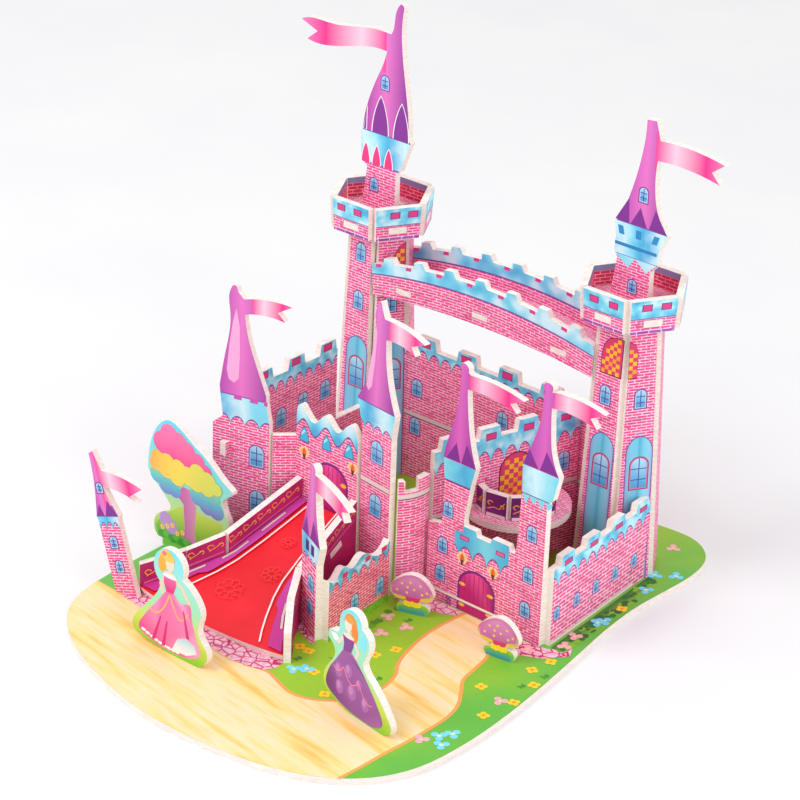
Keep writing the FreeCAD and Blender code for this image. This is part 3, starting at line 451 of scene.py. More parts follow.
class Print:
    """Printed shapes that lie on one face, which may be given as a key of SHEETS."""

    def __init__(self, face, name, slot="wall_print"):
        self.face, self.name, self.slot = Face(*SHEETS[face]) if isinstance(face, str) else face, name, slot
        self.points, self.polygons, self.inks = [], [], []
        self.warp = None

    def level(self, shapes, layer):
        """Lowest level from the given one up that lies over all that is printed there."""
        bounds = []
        for shape in shapes:
            runs, heights = zip(*shape)
            bounds.append((min(runs), min(heights), max(runs), max(heights)))
        # Boxes that only touch, or overlap by less than this, count as apart
        slack = 0.02
        level = max([layer] + [above + 1 for b, above in self.face.placed for c in bounds
                               if b[0] < c[2] - slack and c[0] < b[2] - slack
                               and b[1] < c[3] - slack and c[1] < b[3] - slack])
        self.face.placed += [(bound, level) for bound in bounds]
        return level

    def shape(self, points, ink, layer=0, level=None):
        """Closed shape in one colour, or in a colour that is a function of run and height."""
        first = len(self.points)
        points = list(points)
        level = self.level([points], layer) if level is None else level
        for s, z in points:
            self.inks.append(linear(ink(s, z) if callable(ink) else ink))
            s, z = self.warp(s, z) if self.warp else (s, z)
            self.points.append(self.face.point(s, z, PRINT_LIFT + LEVEL_STEP * level))
        self.polygons.append(tuple(range(first, len(self.points))))
        return self

    def line(self, points, width, ink, layer=0):
        """Line of an even width."""
        left, right = [], []
        for number, (s, z) in enumerate(points):
            before, after = points[max(number - 1, 0)], points[min(number + 1, len(points) - 1)]
            ds, dz = after[0] - before[0], after[1] - before[1]
            length = math.hypot(ds, dz) or 1.0
            left.append((s - dz / length * width / 2, z + ds / length * width / 2))
            right.append((s + dz / length * width / 2, z - ds / length * width / 2))
        parts = [(left[n], right[n], right[n + 1], left[n + 1]) for n in range(len(points) - 1)]
        level = self.level(parts, layer)
        for part in parts:
            self.shape(part, ink, layer, level)
        return self

    def build(self, material=None):
        mesh = bpy.data.meshes.new(self.name)
        mesh.from_pydata(self.points, [], self.polygons)
        colours = mesh.attributes.new("ink", "FLOAT_COLOR", "POINT")
        for item, ink in zip(colours.data, self.inks):
            item.color = list(ink) + [1.0]
        mesh.materials.append(material or INK)
        thing = bpy.data.objects.new(self.name, mesh)
        bpy.context.scene.collection.objects.link(thing)
        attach(thing, "root")


def oval(s, z, a, b=None, count=18, first=0, last=360):
    b = b or a
    steps = [math.radians(first + (last - first) * n / count) for n in range(count + (last - first < 360))]
    return [(s + a * math.cos(t), z + b * math.sin(t)) for t in steps]


def box(s0, z0, s1, z1):
    return [(s0, z0), (s1, z0), (s1, z1), (s0, z1)]


def arch(s, z, width, height, count=10, rise=0.9):
    """Round-headed shape about a middle point."""
    spring = z + height / 2 - width / 2 * rise
    return [(s - width / 2, z - height / 2), (s + width / 2, z - height / 2)] + \
        oval(s, spring, width / 2, width / 2 * rise, count, 0, 180)


def pointed(s, z0, z1, width):
    """Pointed arch that stands on z0."""
    points = [(s - width / 2, z0), (s + width / 2, z0)]
    for n in range(1, 8):
        points.append((s + width / 2 * math.cos(math.pi * n / 16) ** 0.8, z0 + (z1 - z0) * n / 8))
    points.append((s, z1))
    for n in range(7, 0, -1):
        points.append((s - width / 2 * math.cos(math.pi * n / 16) ** 0.8, z0 + (z1 - z0) * n / 8))
    return points


def window(p, s, z, width, height, rim=(132, 56, 140), inner=(176, 206, 240), bars=(64, 76, 158), layer=1):
    """Round-headed window with glazing bars and a sky-coloured glass."""
    p.shape(arch(s, z, width + 0.9, height + 0.9), rim, layer)
    p.shape(arch(s, z, width, height), inner, layer + 1)
    glass = ramp_of((z - height / 2, (74, 150, 208)), (z + height * 0.1, (104, 180, 228)),
                    (z + height / 2, (190, 230, 248)))
    p.shape(arch(s, z, width - 0.9, height - 0.9), lambda a, b: glass(b), layer + 2)
    p.line([(s, z - height / 2 + 0.4), (s, z + height / 2 - 0.4)], 0.42, bars, layer + 3)
    for level in (-0.2, 0.14):
        p.line([(s - width / 2 + 0.4, z + height * level), (s + width / 2 - 0.4, z + height * level)], 0.4, bars,
               layer + 3)


def windows(p, width, height, *places, **colours):
    for s, z in places:
        window(p, s, z, width, height, **colours)


def torch(p, s, z, layer=1):
    """Wall torch with a pale glow."""
    p.shape([(s + 2.7 * (1 + 0.1 * math.cos(6 * t)) * math.cos(t),
              z + 2.4 * (1 + 0.1 * math.cos(6 * t)) * math.sin(t))
             for t in [math.tau * n / 30 for n in range(30)]], (253, 214, 170), layer)
    p.shape(oval(s, z, 1.8, 1.6), (250, 186, 120), layer + 1)
    p.shape([(s - 1.0, z - 0.8), (s + 1.0, z - 0.8), (s + 0.9, z + 0.6), (s, z + 2.2), (s - 0.9, z + 0.5)],
            (240, 104, 30), layer + 2)
    p.shape([(s - 1.0, z - 0.9), (s - 0.3, z - 3.4), (s + 0.3, z - 3.4), (s + 1.0, z - 0.9)], (110, 52, 40),
            layer + 3)


def checker(p, outline, cell, centre, layer=1):
    """Yellow and magenta checks inside a round-headed outline."""
    p.shape([(centre[0] + (s - centre[0]) * 1.08, centre[1] + (z - centre[1]) * 1.05) for s, z in outline],
            (96, 30, 60), layer)
    p.shape(outline, (222, 60, 110), layer + 1)
    low_s, high_s = min(s for s, z in outline), max(s for s, z in outline)
    low_z, high_z = min(z for s, z in outline), max(z for s, z in outline)
    edges = list(zip(outline, outline[1:] + outline[:1]))

    def inside(s, z):
        hits = [(a[0] + (z - a[1]) * (b[0] - a[0]) / (b[1] - a[1])) > s for a, b in edges if (a[1] > z) != (b[1] > z)]
        return sum(hits) % 2 == 1

    for i in range(int((high_s - low_s) / cell) + 2):
        for j in range(int((high_z - low_z) / cell) + 2):
            s0, z0 = low_s + i * cell, low_z + j * cell
            square = box(s0, z0, s0 + cell, z0 + cell)
            if (i + j) % 2 == 0 and all(inside(s * 0.999 + centre[0] * 0.001, z * 0.999 + centre[1] * 0.001) for s,
                                        z in square):
                p.shape(square, (252, 190, 30) if (i + 2 * j) % 3 else (246, 160, 50), layer + 2)


def scroll(p, s, z, size, ink=GOLD, flip=1, layer=2, width=0.4):
    """Curled tendril."""
    points = []
    for n in range(15):
        t = n / 14
        r = size * (0.2 + 0.8 * t)
        angle = t * 4.4
        points.append((s + flip * (r * math.cos(angle) - size * 0.2), z + r * math.sin(angle) * 0.62))
    p.line(points, width, ink, layer)


def blossom(p, x, y, size, petal, heart, petals=5, layer=2, turn=0.4):
    for n in range(petals):
        t = turn + math.tau * n / petals
        p.shape(oval(x + size * 0.55 * math.cos(t), y + size * 0.55 * math.sin(t), size * 0.45, count=10), petal,
                layer)
    p.shape(oval(x, y, size * 0.28, count=8), heart, layer + 1)


def dress(node, *sides):
    """Gives each flat side of a node its print; the cut edges show foam."""
    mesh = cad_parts[node].data
    mesh.materials.clear()
    mesh.materials.append(FOAM)
    wanted = []
    for direction, front, back in sides:
        if isinstance(direction, (int, float)):
            h = math.radians(direction)
            direction = (math.sin(h), -math.cos(h), 0)
        direction = Vector(direction).normalized()
        for sign, material in ((1, front), (-1, back)):
            mesh.materials.append(material)
            wanted.append((direction * sign, len(mesh.materials) - 1))
    # A side is a print only where its plane carries a good part of the sheet
    planes = {}
    for polygon in mesh.polygons:
        for direction, index in wanted:
            if polygon.normal.dot(direction) > 0.985:
                key = (index, round(polygon.center.dot(direction) * 1500))
                planes.setdefault(key, []).append(polygon)
    areas = {}
    for (index, place), polygons in planes.items():
        areas.setdefault(index, []).append((sum(p.area for p in polygons), polygons))
    for index, entries in areas.items():
        largest = max(area for area, polygons in entries)
        for area, polygons in entries:
            if area > 0.12 * largest:
                for polygon in polygons:
                    polygon.material_index = index


# Merlon slots as first run, pitch, foot, top and width
REAR = battlement("rear_wall_print", "rear", 59.3, 64.5, 6.4, 1.2, (-3.4, 22.2, 67.0, 69.6, 5.2), 33.5)
COURT = battlement("courtyard_wall_print", "courtyard", 61.4, 67.0, 5.8, 0.6, (13.8, 19.6, 71.4, 74.0, 5.0))
BALCONY = battlement("balcony_wall_print", "balcony", 52.6, 59.0, 6.6, 1.0, (6.0, 18.5, 64.2, 66.6, 4.8), 35.5)
SIDE_WALL = battlement("side_wall_print", "side", 27.6, 33.2, 7.0, 3.6, (7.4, 18.6, 36.0, 37.6, 5.6),
                       length=5.4, row=1.7, gap=0.3)
PARAPET = bridge_print()
LEFT_SPIRE = spire_print("left_spire_print", "left_spire", (141.4, 155.4), (-9, 1, 12), (0.6, -44), 183, -1)
RIGHT_SPIRE = spire_print("right_spire_print", "right_spire", (139.5, 153.6), (-9, 3, 13), (6.6, 38), 178)
WING_SPIRE = spire_print("wing_spire_print", "wing", (60.5, 71.2), (3, 13, 26), (17.4, 35.6), 104,
                         drips=(57.9, 61.9, 6.7, 14.8))
GATE_SPIRE = spire_print("gate_spire_print", "gate_spire", (73.5, 84.6), (1, 8, 18), (14.0, 34.6), 110,
                         drips=(72.8, 76.2, 5.3, 1.6))
POST = spire_print("post_print", "post", (36.4, 45.2), (1, 9, 17), (13.2, 45.0), 64,
                   drips=(34.2, 36.6, 3.4, 1.0), length=6.0, row=1.8, gap=0.32)
TURRET = spire_print("turret_print", "turret", (33.6, 37.4), (0, 4, 9), (5.0, 23.0), 42,
                     drips=(31.4, 34.6, 3.0, 0.5), lean=TURRET_LEAN)


def gatehouse_print():
    """Front of the gatehouse: two spires on brickwork and a blue parapet between them."""
    net = Net("gatehouse_print")
    s, z = net.sheet("gatehouse"), net.height()
    colour = net.bricks(s, z)
    sky = net.stops(net.plus(s, net.times(net.noise(net.vector(s, z), 0.2), 8.0)),
                    (0, CYAN_PALE), (12, CYAN), (22, CYAN_DEEP), (34, CYAN), (46, CYAN_DEEP), (56, CYAN_PALE),
                    (66, CYAN))
    right = net.over(s, 44.0)
    low = net.plus(58.2, net.times(right, 8.6))
    high = net.plus(67.6, net.times(right, 11.4))
    colour = net.mix(net.over(z, low), colour, sky)
    colour = net.mix(net.near(z, low, 0.35), colour, PURPLE_DARK)
    left_roof = net.stops(s, (7, (170, 64, 168)), (14, (216, 100, 190)), (22, (150, 54, 158)))
    right_roof = net.stops(s, (47, (170, 64, 168)), (56, (216, 100, 190)), (64, (150, 54, 158)))
    colour = net.mix(net.over(z, high), colour, net.mix(right, left_roof, right_roof))
    cloth = net.stops(s, (17.5, (240, 60, 150)), (24, (253, 190, 216)), (37, (240, 44, 140)), (44.5, (246, 120, 180)))
    right_cloth = net.stops(s, (58.5, (240, 60, 150)), (66, (253, 202, 222)), (77, (240, 44, 140)),
                            (84, (246, 120, 180)))
    tail = net.times(net.over(s, 17.6), net.over(46.0, s), net.over(z, 96.0))
    right_tail = net.times(net.over(s, 59.3), net.over(z, 104.0))
    colour = net.mix(tail, colour, cloth)
    colour = net.mix(right_tail, colour, right_cloth)
    edge = scallop(net, s, 26.6, 32.0, 7.2, 23.4)
    middle = net.times(net.over(s, 13.8), net.over(41.6, s),
                       net.over(net.plus(41.6, net.times(net.over(17.9, s), -3.6)), z))
    colour = net.mix(net.times(middle, net.over(z, edge)), colour, sky)
    colour = net.mix(net.times(middle, net.near(z, edge, 0.34)), colour, BAND_LINE)
    foot = net.times(net.over(6.4, z), net.noise(net.vector(s, z), 0.5))
    return net.finish(net.mix(net.times(foot, 0.5), colour, (170, 60, 120)))


def gate_print():
    """Gate front: brickwork under a wavy blue crest."""
    net = Net("gate_print")
    s, z = net.sheet("gate"), net.height()
    colour = net.bricks(s, z)
    wave = net.math("COSINE", net.times(net.plus(s, -4.4), math.tau / 12.2))
    edge = net.plus(62.8, net.times(wave, 3.0))
    sky = net.stops(net.plus(z, net.times(wave, 3.0)), (60, CYAN_DEEP), (65, CYAN), (72, CYAN_PALE))
    colour = net.mix(net.over(z, edge), colour, sky)
    return net.finish(net.mix(net.near(z, edge, 0.4), colour, BAND_LINE))


def low_wall_print():
    net = Net("low_wall_print")
    s, z = net.sheet("low"), net.height()
    colour = net.bricks(s, z, deep=(190, 30, 80), mid=(232, 72, 118), mortar=(255, 206, 210))
    edge = scallop(net, s, 21.6, 27.2, 6.2, 1.4)
    sky = net.stops(net.noise(net.vector(s, z), 0.2), (0.3, (60, 160, 190)), (0.5, (96, 190, 214)), (0.7, CYAN_PALE))
    colour = net.mix(net.over(z, edge), colour, sky)
    colour = net.mix(net.near(z, edge, 0.3), colour, (70, 90, 140))
    hedge = net.mix(net.ease(net.noise(net.vector(s, z), 1.2), 0.4, 0.6), (96, 170, 40), (150, 200, 60))
    return net.finish(net.mix(net.over(6.6, z), colour, hedge))


def bowed_print():
    """Brickwork and string course that follow the curve of the short bowed wall."""
    net = Net("bowed_print")
    x, y = net.plan()
    angle = net.math("ARCTAN2", net.plus(y, 55.0), net.plus(x, -50.0))
    s, z = net.times(angle, 13.0), net.height()
    colour = net.bricks(s, z)
    colour = net.mix(net.between(z, 48.0, 50.2), colour, COURSE)
    return net.finish(net.mix(net.near(z, 48.0, 0.25), colour, COURSE_LINE))


def crown_print():
    """Crown panels: blue band over brickwork and a purple bottom course."""
    net = Net("crown_print")
    s, z = net.own_run(), net.height()
    colour = net.bricks(s, z)
    sky = net.stops(net.noise(net.vector(s, z), 0.12), (0.34, CYAN_DEEP), (0.5, CYAN), (0.62, CYAN_PALE))
    colour = net.mix(net.over(z, 122.2), colour, sky)
    colour = net.mix(net.near(z, 122.2, 0.22), colour, (120, 90, 160))
    course = net.bricks(s, z, deep=(110, 36, 120), mid=(176, 84, 176), mortar=(244, 214, 240), length=5.2, row=1.5)
    return net.finish(net.mix(net.over(117.2, z), colour, course))


def crown_inside_print():
    net = Net("crown_inside")
    s, z = net.own_run(), net.height()
    colour = net.bricks(s, z, deep=(176, 20, 70), mid=(228, 60, 104), mortar=(252, 176, 190), length=4.4, row=1.5)
    return net.finish(net.mix(net.over(z, 127.4), colour, (134, 136, 176)))


CROWN, CROWN_INSIDE, BOWED = crown_print(), crown_inside_print(), bowed_print()
GATEHOUSE, GATE, LOW_WALL = gatehouse_print(), gate_print(), low_wall_print()
GRASS, SAND, PAVING = grass_print(), sand_print(), paving_print()
PLAIN_BACK = plain_print("figure_back", (226, 238, 236), (204, 232, 226), 0.08)
RED = plain_print("ramp_carpet", (236, 26, 44), (226, 20, 36), 0.05)
CRIMSON = plain_print("ramp_rail", (196, 40, 112), (168, 36, 104), 0.08)
PLUM = plain_print("balcony_rail_print", (124, 44, 120), (104, 34, 106), 0.1)
DECK_BRICK = brick_print("deck_brick", level=True, deep=(214, 70, 130), mid=(240, 130, 172), mortar=(255, 226, 236))
FIGURE = contour_print("figure_border", 4, 54, (120, 196, 40), (204, 222, 84), (160, 226, 190), (150, 228, 224),
                       (100, 222, 244))
TREE = contour_print("tree_border", 5, 60, (100, 180, 40), (198, 226, 110), (156, 226, 196), (120, 224, 236),
                     (104, 220, 244))
STOOL = contour_print("stool_border", 3, 22, (60, 150, 190), (120, 196, 60), (236, 206, 60), (206, 110, 176),
                      (216, 130, 186))

for node, *sides in (
        ("wing_and_gate", (15, WING_SPIRE, BRICK), (45, BRICK, BRICK), (0, GATE, BRICK)),
        ("courtyard_wall", (90, COURT, BRICK)),
        ("gate_spire", (-8, GATE_SPIRE, BRICK)),
        ("gatehouse_and_side_wall", (-1, GATEHOUSE, BRICK), (95, SIDE_WALL, BRICK_DARK)),
        ("post_and_front_wall", (-26, POST, BRICK), (96, LOW_WALL, BRICK_DARK)),
        ("rear_wall", (0, REAR, BRICK)),
        ("balcony_wall", (73.5, BALCONY, BRICK)),
        ("leaning_turret", (12, TURRET, BRICK)),
        ("left_spire", (0, LEFT_SPIRE, BRICK)),
        ("right_spire", (0, RIGHT_SPIRE, BRICK)),
        ("bridge_front_parapet", (0, PARAPET, PARAPET)),
        ("bridge_rear_parapet", (0, PARAPET, PARAPET)),
        ("bridge_floor", *(((lean, 0, 1), DECK_BRICK, DECK_BRICK) for lean in (0, 0.05, -0.05))),
        ("left_crown_floor", ((0, 0, 1), DECK_BRICK, DECK_BRICK)),
        ("right_crown_floor", ((0, 0, 1), DECK_BRICK, DECK_BRICK)),
        ("balcony_floor", ((0, 0, 1), DECK_BRICK, DECK_BRICK)),
        ("balcony_rail", *((heading, PLUM, PLUM) for heading in RAIL_HEADINGS)),
        ("base_board", ((0, 0, 1), GRASS, FOAM)),
        ("ramp_deck", ((0, -math.sin(math.radians(SLOPE)), math.cos(math.radians(SLOPE))), RED, FOAM)),
        ("ramp_right_wall", *((heading, CRIMSON, CRIMSON) for heading in (129, 121, 98))),
        ("ramp_left_wall", *((heading, CRIMSON, CRIMSON) for heading in (51, 59, 82))),
        ("tree", (0, TREE, PLAIN_BACK)),
        ("left_figure", (0, FIGURE, PLAIN_BACK)),
        ("right_figure", (-9, FIGURE, PLAIN_BACK)),
        ("flower_stool_left", (20, STOOL, PLAIN_BACK)),
        ("flower_stool_right", (8, STOOL, PLAIN_BACK))):
    dress(node, *sides)
for side, middle in TOWERS.items():
    axis = metres(middle, TOWER_Y)
    for number in (1, 2, 3):
        for kind, outer, inner in (("tower", BRICK, BRICK_DARK), ("crown", CROWN, CROWN_INSIDE)):
            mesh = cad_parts[f"{side}_{kind}_panel_{number}"].data
            mesh.materials.clear()
            for material in (FOAM, outer, inner):
                mesh.materials.append(material)
            for polygon in mesh.polygons:
                n = polygon.normal
                turn = math.degrees(math.atan2(n.y, n.x)) % 60
                if abs(n.z) < 0.2 and abs(turn - 30) < 4:
                    away = (polygon.center - axis).dot(Vector((n.x, n.y, 0)).normalized())
                    polygon.material_index = 1 if away > 0.0125 else 2 if away < -0.008 else 0

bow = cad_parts["bowed_wall"].data
bow.materials.clear()
for material in (FOAM, BOWED):
    bow.materials.append(material)
for polygon in bow.polygons:
    if abs(polygon.normal.z) < 0.05 and polygon.area > 2e-6 and polygon.normal.x > 0.2 and polygon.normal.y < 0.35:
        polygon.material_index = 1


# Printed shapes
def tower_print(side, number, heading):
    face = Face(f"{side}_tower_panel_{number}", heading, (TOWERS[side], TOWER_Y), TOWER_TILT)
    return Print(face, f"print_{side}_tower_{heading}", "tower_print")


def spikes(p, *triangles):
    """Dark points at the foot of a roof, each as left, right, foot, tip run and tip height."""
    for left, right, z, tip, top in triangles:
        p.shape([(left, z), (right, z), (tip, top)], SPIKE, 1)


def niche(p, s, width, top):
    """Tall blue niche, paler towards its sides, with a round head."""
    shade = ramp_of((-1, (156, 158, 206)), (-0.75, (130, 200, 230)), (-0.15, (112, 200, 228)), (0, (88, 178, 214)),
                    (0.3, (120, 208, 232)), (0.8, (150, 208, 238)), (1, (160, 160, 208)))
    count, rise = 12, width * 0.62
    for n in range(count):
        u, v = (-1 + 2 * n / count), (-1 + 2 * (n + 1) / count)
        zu, zv = (top - rise + rise * math.sqrt(max(0, 1 - t * t)) for t in (u, v))
        points = [(s + u * width / 2, FOOT), (s + v * width / 2, FOOT), (s + v * width / 2, zv),
                  (s + u * width / 2, zu)]
        p.shape(points, lambda a, b: shade((a - s) / width * 2), 1)
    rim = [(s - width / 2, FOOT), (s - width / 2, top - rise)]
    rim += reversed(oval(s, top - rise, width / 2, rise, 12, 0, 180))
    p.line(rim + [(s + width / 2, FOOT)], 0.4, (104, 88, 168), 2)


# Run of the niche's middle and of the crown slots, by tower, panel and heading
for side, number, heading, middle, slots in (("left", 1, 0, 0.9, (-5.2, 3.8)), ("left", 2, 60, 1, (-1.4, 6.5)),
                                             ("right", 1, 0, 0.4, (-4.5, 5)), ("right", 1, 60, 0.7, (-3.1, 5.1))):
    p = Print(Face(f"{side}_crown_panel_{number}", heading, (TOWERS[side], TOWER_Y), CROWN_TILT),
              f"print_{side}_crown_{heading}", "crown_print")
    for s in slots:
        p.shape(box(s - 2.2, 125.6, s + 2.2, 128.6), (110, 52, 120), 1)
        p.shape(box(s - 1.8, 125.9, s + 1.8, 128.3), (228, 62, 136), 2)
    p.build()
    p = tower_print(side, number, heading)
    niche(p, middle, 11.6, 67.6)
    window(p, middle + 0.2, 51.4, 7.8, 14, rim=(168, 36, 84), inner=(214, 120, 160), layer=3)
    window(p, middle - 0.8, 84.2, 4.8, 8)
    if side == "left" and heading == 0:
        window(p, 0.2, 106, 4.8, 8)
    p.build()

for side, number, heading, outline in (
        ("left", 2, 60, [(0.6, 96), (6.3, 96), (6.3, 111.2), (4.2, 110), (2.2, 107.2), (0.9, 103.4)]),
        ("right", 1, 0, [(-3.6, 93.6), (6.1, 93.6), (6.1, 109.6), (2.6, 109.7), (-0.6, 108.6), (-2.8, 105.6),
                         (-3.6, 101.6)]),
        ("right", 1, 60, [(-6.1, 93.8), (-2.4, 93.8), (-2.4, 104.6), (-3.4, 107.6), (-6.1, 109.4)])):
    p = tower_print(side, number, heading)
    p.name += "_arch"
    checker(p, outline, 1.75, tuple(sum(values) / len(outline) for values in zip(*outline)))
    p.build()

p = Print("left_spire", "print_left_spire", "spire_print")
for low, wide, top in ((-1.3, 8.6, 172), (10.1, 8, 171.5)):
    p.shape(pointed(low, 155.5, top + 0.6, wide + 0.9), WHITE, 1)
    p.shape(pointed(low, 155.5, top, wide), DEEP_ARCH, 2)
p.shape([(-10.6, 155.6), (-8.6, 155.6), (-8.5, 167)], WHITE, 1)
p.shape([(-10.3, 155.7), (-9, 155.7), (-8.9, 165.6)], DEEP_ARCH, 2)
for s in (-8.8, -2.8, 3.8):
    p.shape(pointed(s, 141.2, 150.4, 5.2), WHITE, 1).shape(pointed(s, 141.2, 149.8, 4.3), (250, 56, 134), 2)
window(p, 0.6, 178.5, 4, 6)
window(p, -3.7, 132.3, 4, 5.6)
p.build()

p = Print("right_spire", "print_right_spire", "spire_print")
spikes(p, (-10.4, -3.6, 153.8, -4.4, 164.2), (-2.9, 5, 153.8, 1.4, 161.6), (6, 14.6, 153.8, 8.6, 162.4))
for s, lean in ((-6.7, -0.6), (1.3, 0), (9, 0.7)):
    top = s + lean * 1.6
    p.shape([(s - 1.3, 148.2), (s + 1.3, 148.2), (top + 1.3, 151.8), (top - 1.3, 151.8)], (44, 138, 200), 1)
p.shape(box(-9.8, 143.4, 10.6, 144.8), (40, 130, 190), 1)
for tip, left, right in ((-2.8, -9.4, 0.4), (6, 0.4, 10.8)):
    p.shape([(left, 139.6), (tip, 135), (right, 139.6)], along(0, (-10, CYAN), (10, CYAN_PALE)), 1)
window(p, 2.4, 167.2, 4, 6)
window(p, 0, 127.6, 4, 5.6)
p.build()

p = Print("wing", "print_wing")
for s in (11.4, 18.9, 25.2):
    p.shape(box(s - 1.8, 69.6, min(s + 1.8, 25), 71.6), (196, 84, 178), 1)
p.shape([(6.2, 82), (7.2, 78), (9.6, 76.8), (11.8, 79), (12.2, 90), (12, 102), (10.4, 110), (8.9, 104), (7.4, 94)],
        ROOF_GLOW, 1)
windows(p, 6.4, 9.4, (20.4, 46), (20.8, 25.4))
p.build()

p = Print("gate_spire", "print_gate_spire")
p.shape([(1.8, 92), (3.2, 90), (5.2, 92.6), (6.6, 104), (7.4, 116), (6.8, 120), (5.6, 112), (3.8, 102)], ROOF_GLOW, 1)
p.shape(box(0.2, 49.6, 17.4, 51.6), COURSE, 1).line([(0.2, 49.4), (17.4, 49.4)], 0.35, COURSE_LINE, 2)
windows(p, 6.6, 9.4, (9.4, 65), (9.4, 41.3))
p.build()


def door(p, s, z0, z1, width, hinges, knob=None):
    """Round-headed plank door in a purple frame, with gold fittings."""
    height, inner = z1 - z0, width - 2.4
    p.shape(arch(s, z0 + height / 2, width, height, 14), (134, 36, 132), 1)
    plank = ramp_of((-1, (200, 30, 120)), (-0.2, (246, 100, 168)), (0.3, (232, 56, 140)), (1, (176, 24, 116)))
    p.shape(arch(s, z0 + height / 2 - 0.6, inner, height - 1.2, 14), lambda a, b: plank((a - s) / inner * 2), 2)
    for n in range(1, 7):
        x = s - inner / 2 + inner * n / 7
        top = z1 - 1.6 - inner * 0.45 * (1 - math.sqrt(max(0, 1 - ((x - s) / inner * 2) ** 2)))
        p.line([(x, z0 + 0.2), (x, top)], 0.3, (170, 24, 110), 3)
    for x, z in hinges:
        p.shape(oval(x, z, 1.7, 0.8, 10), GOLD, 4).shape(oval(x + 0.5, z + 0.2, 0.6, 0.3, 8), (255, 228, 130), 5)
    if knob:
        p.shape(oval(knob[0], knob[1], 1.6, 1, 10), GOLD, 4)


p = Print("gate", "print_gate")
for s, z in ((5, 59), (17, 59.3), (29, 59.8)):
    p.shape(pointed(s, z - 3.2, z + 4.2, 5.2), (96, 66, 160), 1)
    p.shape(pointed(s, z - 2.8, z + 3.6, 4.4), (60, 190, 226), 2)
    p.shape([(s - 1.4, z - 0.6), (s + 0.6, z + 1.6), (s - 0.2, z + 2.4), (s - 1.6, z + 0.4)], (170, 232, 246), 3)
torch(p, 5.1, 51.4)
torch(p, 31.2, 53.2)
door(p, 19.6, 27, 51.1, 19, (), (26.6, 43.4))
p.build()

p = Print("gatehouse", "print_gatehouse")
spikes(p, (7.7, 14.9, 67.9, 12.6, 76), (15.4, 22.6, 67.9, 17.8, 77), (46.5, 53.6, 79.3, 48.6, 86.6),
       (54.4, 63.3, 79.3, 57.2, 88))
for n in range(4):
    s = 46.6 + 3.8 * n
    p.shape([(s, 66.8), (s + 3.7, 66.8), (s + 2.6, 64.4), (s + 1.6, 62.6 + (n % 2)), (s + 0.9, 64.6)], CYAN, 1)
for s, z in ((18.9, 35.9), (37.4, 35.9)):
    p.shape(box(s - 2.3, z - 1, s + 2.3, z + 1), (110, 52, 120), 1)
    p.shape(box(s - 2, z - 0.7, s + 2, z + 0.7), (238, 96, 160), 2)
torch(p, 18.2, 26.9, 4)
torch(p, 34.2, 26.4, 4)
door(p, 26.2, FOOT, 23.4, 19.4, ((18.9, 15.4), (33.4, 15.2), (18.9, 6), (33.2, 6.4)))
windows(p, 4.6, 6.6, (9.8, 45.5), (7.8, 28.7), (7.1, 15.9), (52.4, 50.7), (51.6, 32.2), (51, 16.5))
p.shape(box(0.1, 7.2, 43, 8.3), (246, 234, 226), 6).line([(0.1, 7.1), (43, 7.1)], 0.3, (150, 110, 120), 6)
for n in range(5):
    for m in range(2):
        s, z = 11 + m * 1.4 - (n % 2) * 0.7, 3.3 + n * 0.78
        p.shape(box(s, z, s + 1.2, z + 0.6), (150, 60, 150), 2)
p.build()

p = Print("side", "print_side_wall")
for n, s in enumerate((3.8, 18.4, 32.6, 47.1, 61.6)):
    window(p, s, 16.4 - 0.3 * n, 3.9, 5.4)
p.shape(box(0.3, FOOT, 62, 4.6), (236, 226, 220), 1)
for n in range(26):
    s = 4.5 + n * 2.2 + random.uniform(-0.6, 0.6)
    if n % 7 in (2, 3, 4):
        z = 5 + random.uniform(0, 7.5)
        p.shape(oval(s, z, 0.7, 0.5, 8), random.choice(((120, 170, 70), (250, 180, 120), (250, 150, 190))), 2)
p.build()

p = Print("balcony", "print_balcony_wall")
checker(p, arch(40, 45, 15, 20, 14), 2.2, (40, 45))
window(p, 64, 45.4, 5.4, 8.4)
p.build()

for key, width, height, places in (
        ("rear", 5.2, 7.6, ((-4.5, 46.5), (-4.8, 28.2), (42.4, 47.2), (23, 46.8), (64, 46.8))),
        ("courtyard", 5.6, 8.2, ((27.3, 50.1), (40.8, 52.6), (54.6, 53.7)))):
    p = Print(key, f"print_{key}_wall")
    windows(p, width, height, *places)
    p.build()

p = Print("post", "print_post")
for s in (5.2, 10.6):
    p.shape(box(s - 1.5, 38.6, s + 1.5, 43.2), (52, 44, 130), 1)
spikes(p, (0.2, 6.4, 45.4, 3.8, 53), (8, 16.6, 45.4, 10.8, 54))
windows(p, 5.6, 6.6, (9.4, 26.2), (9, 15.4))
p.build()

p = Print("low", "print_low_wall")
windows(p, 4.8, 7.2, (17.6, 12.8), (35.1, 12.8), inner=(150, 206, 210), bars=(40, 90, 120))
for s, z in ((10.5, 28.4), (26, 29), (37.2, 28.6)):
    p.shape(box(s - 1.8, z - 1.2, s + 1.8, z + 1), (214, 50, 100), 2)
for n in range(16):
    if n % 4 < 2:
        p.shape(oval(6.5 + n * 2.1, 7.5 + 2.6 * abs(math.sin(n * 1.7)), 0.6, 0.5, 8),
                ((96, 160, 60), (250, 190, 60), (250, 150, 110))[n % 3], 2)
p.build()


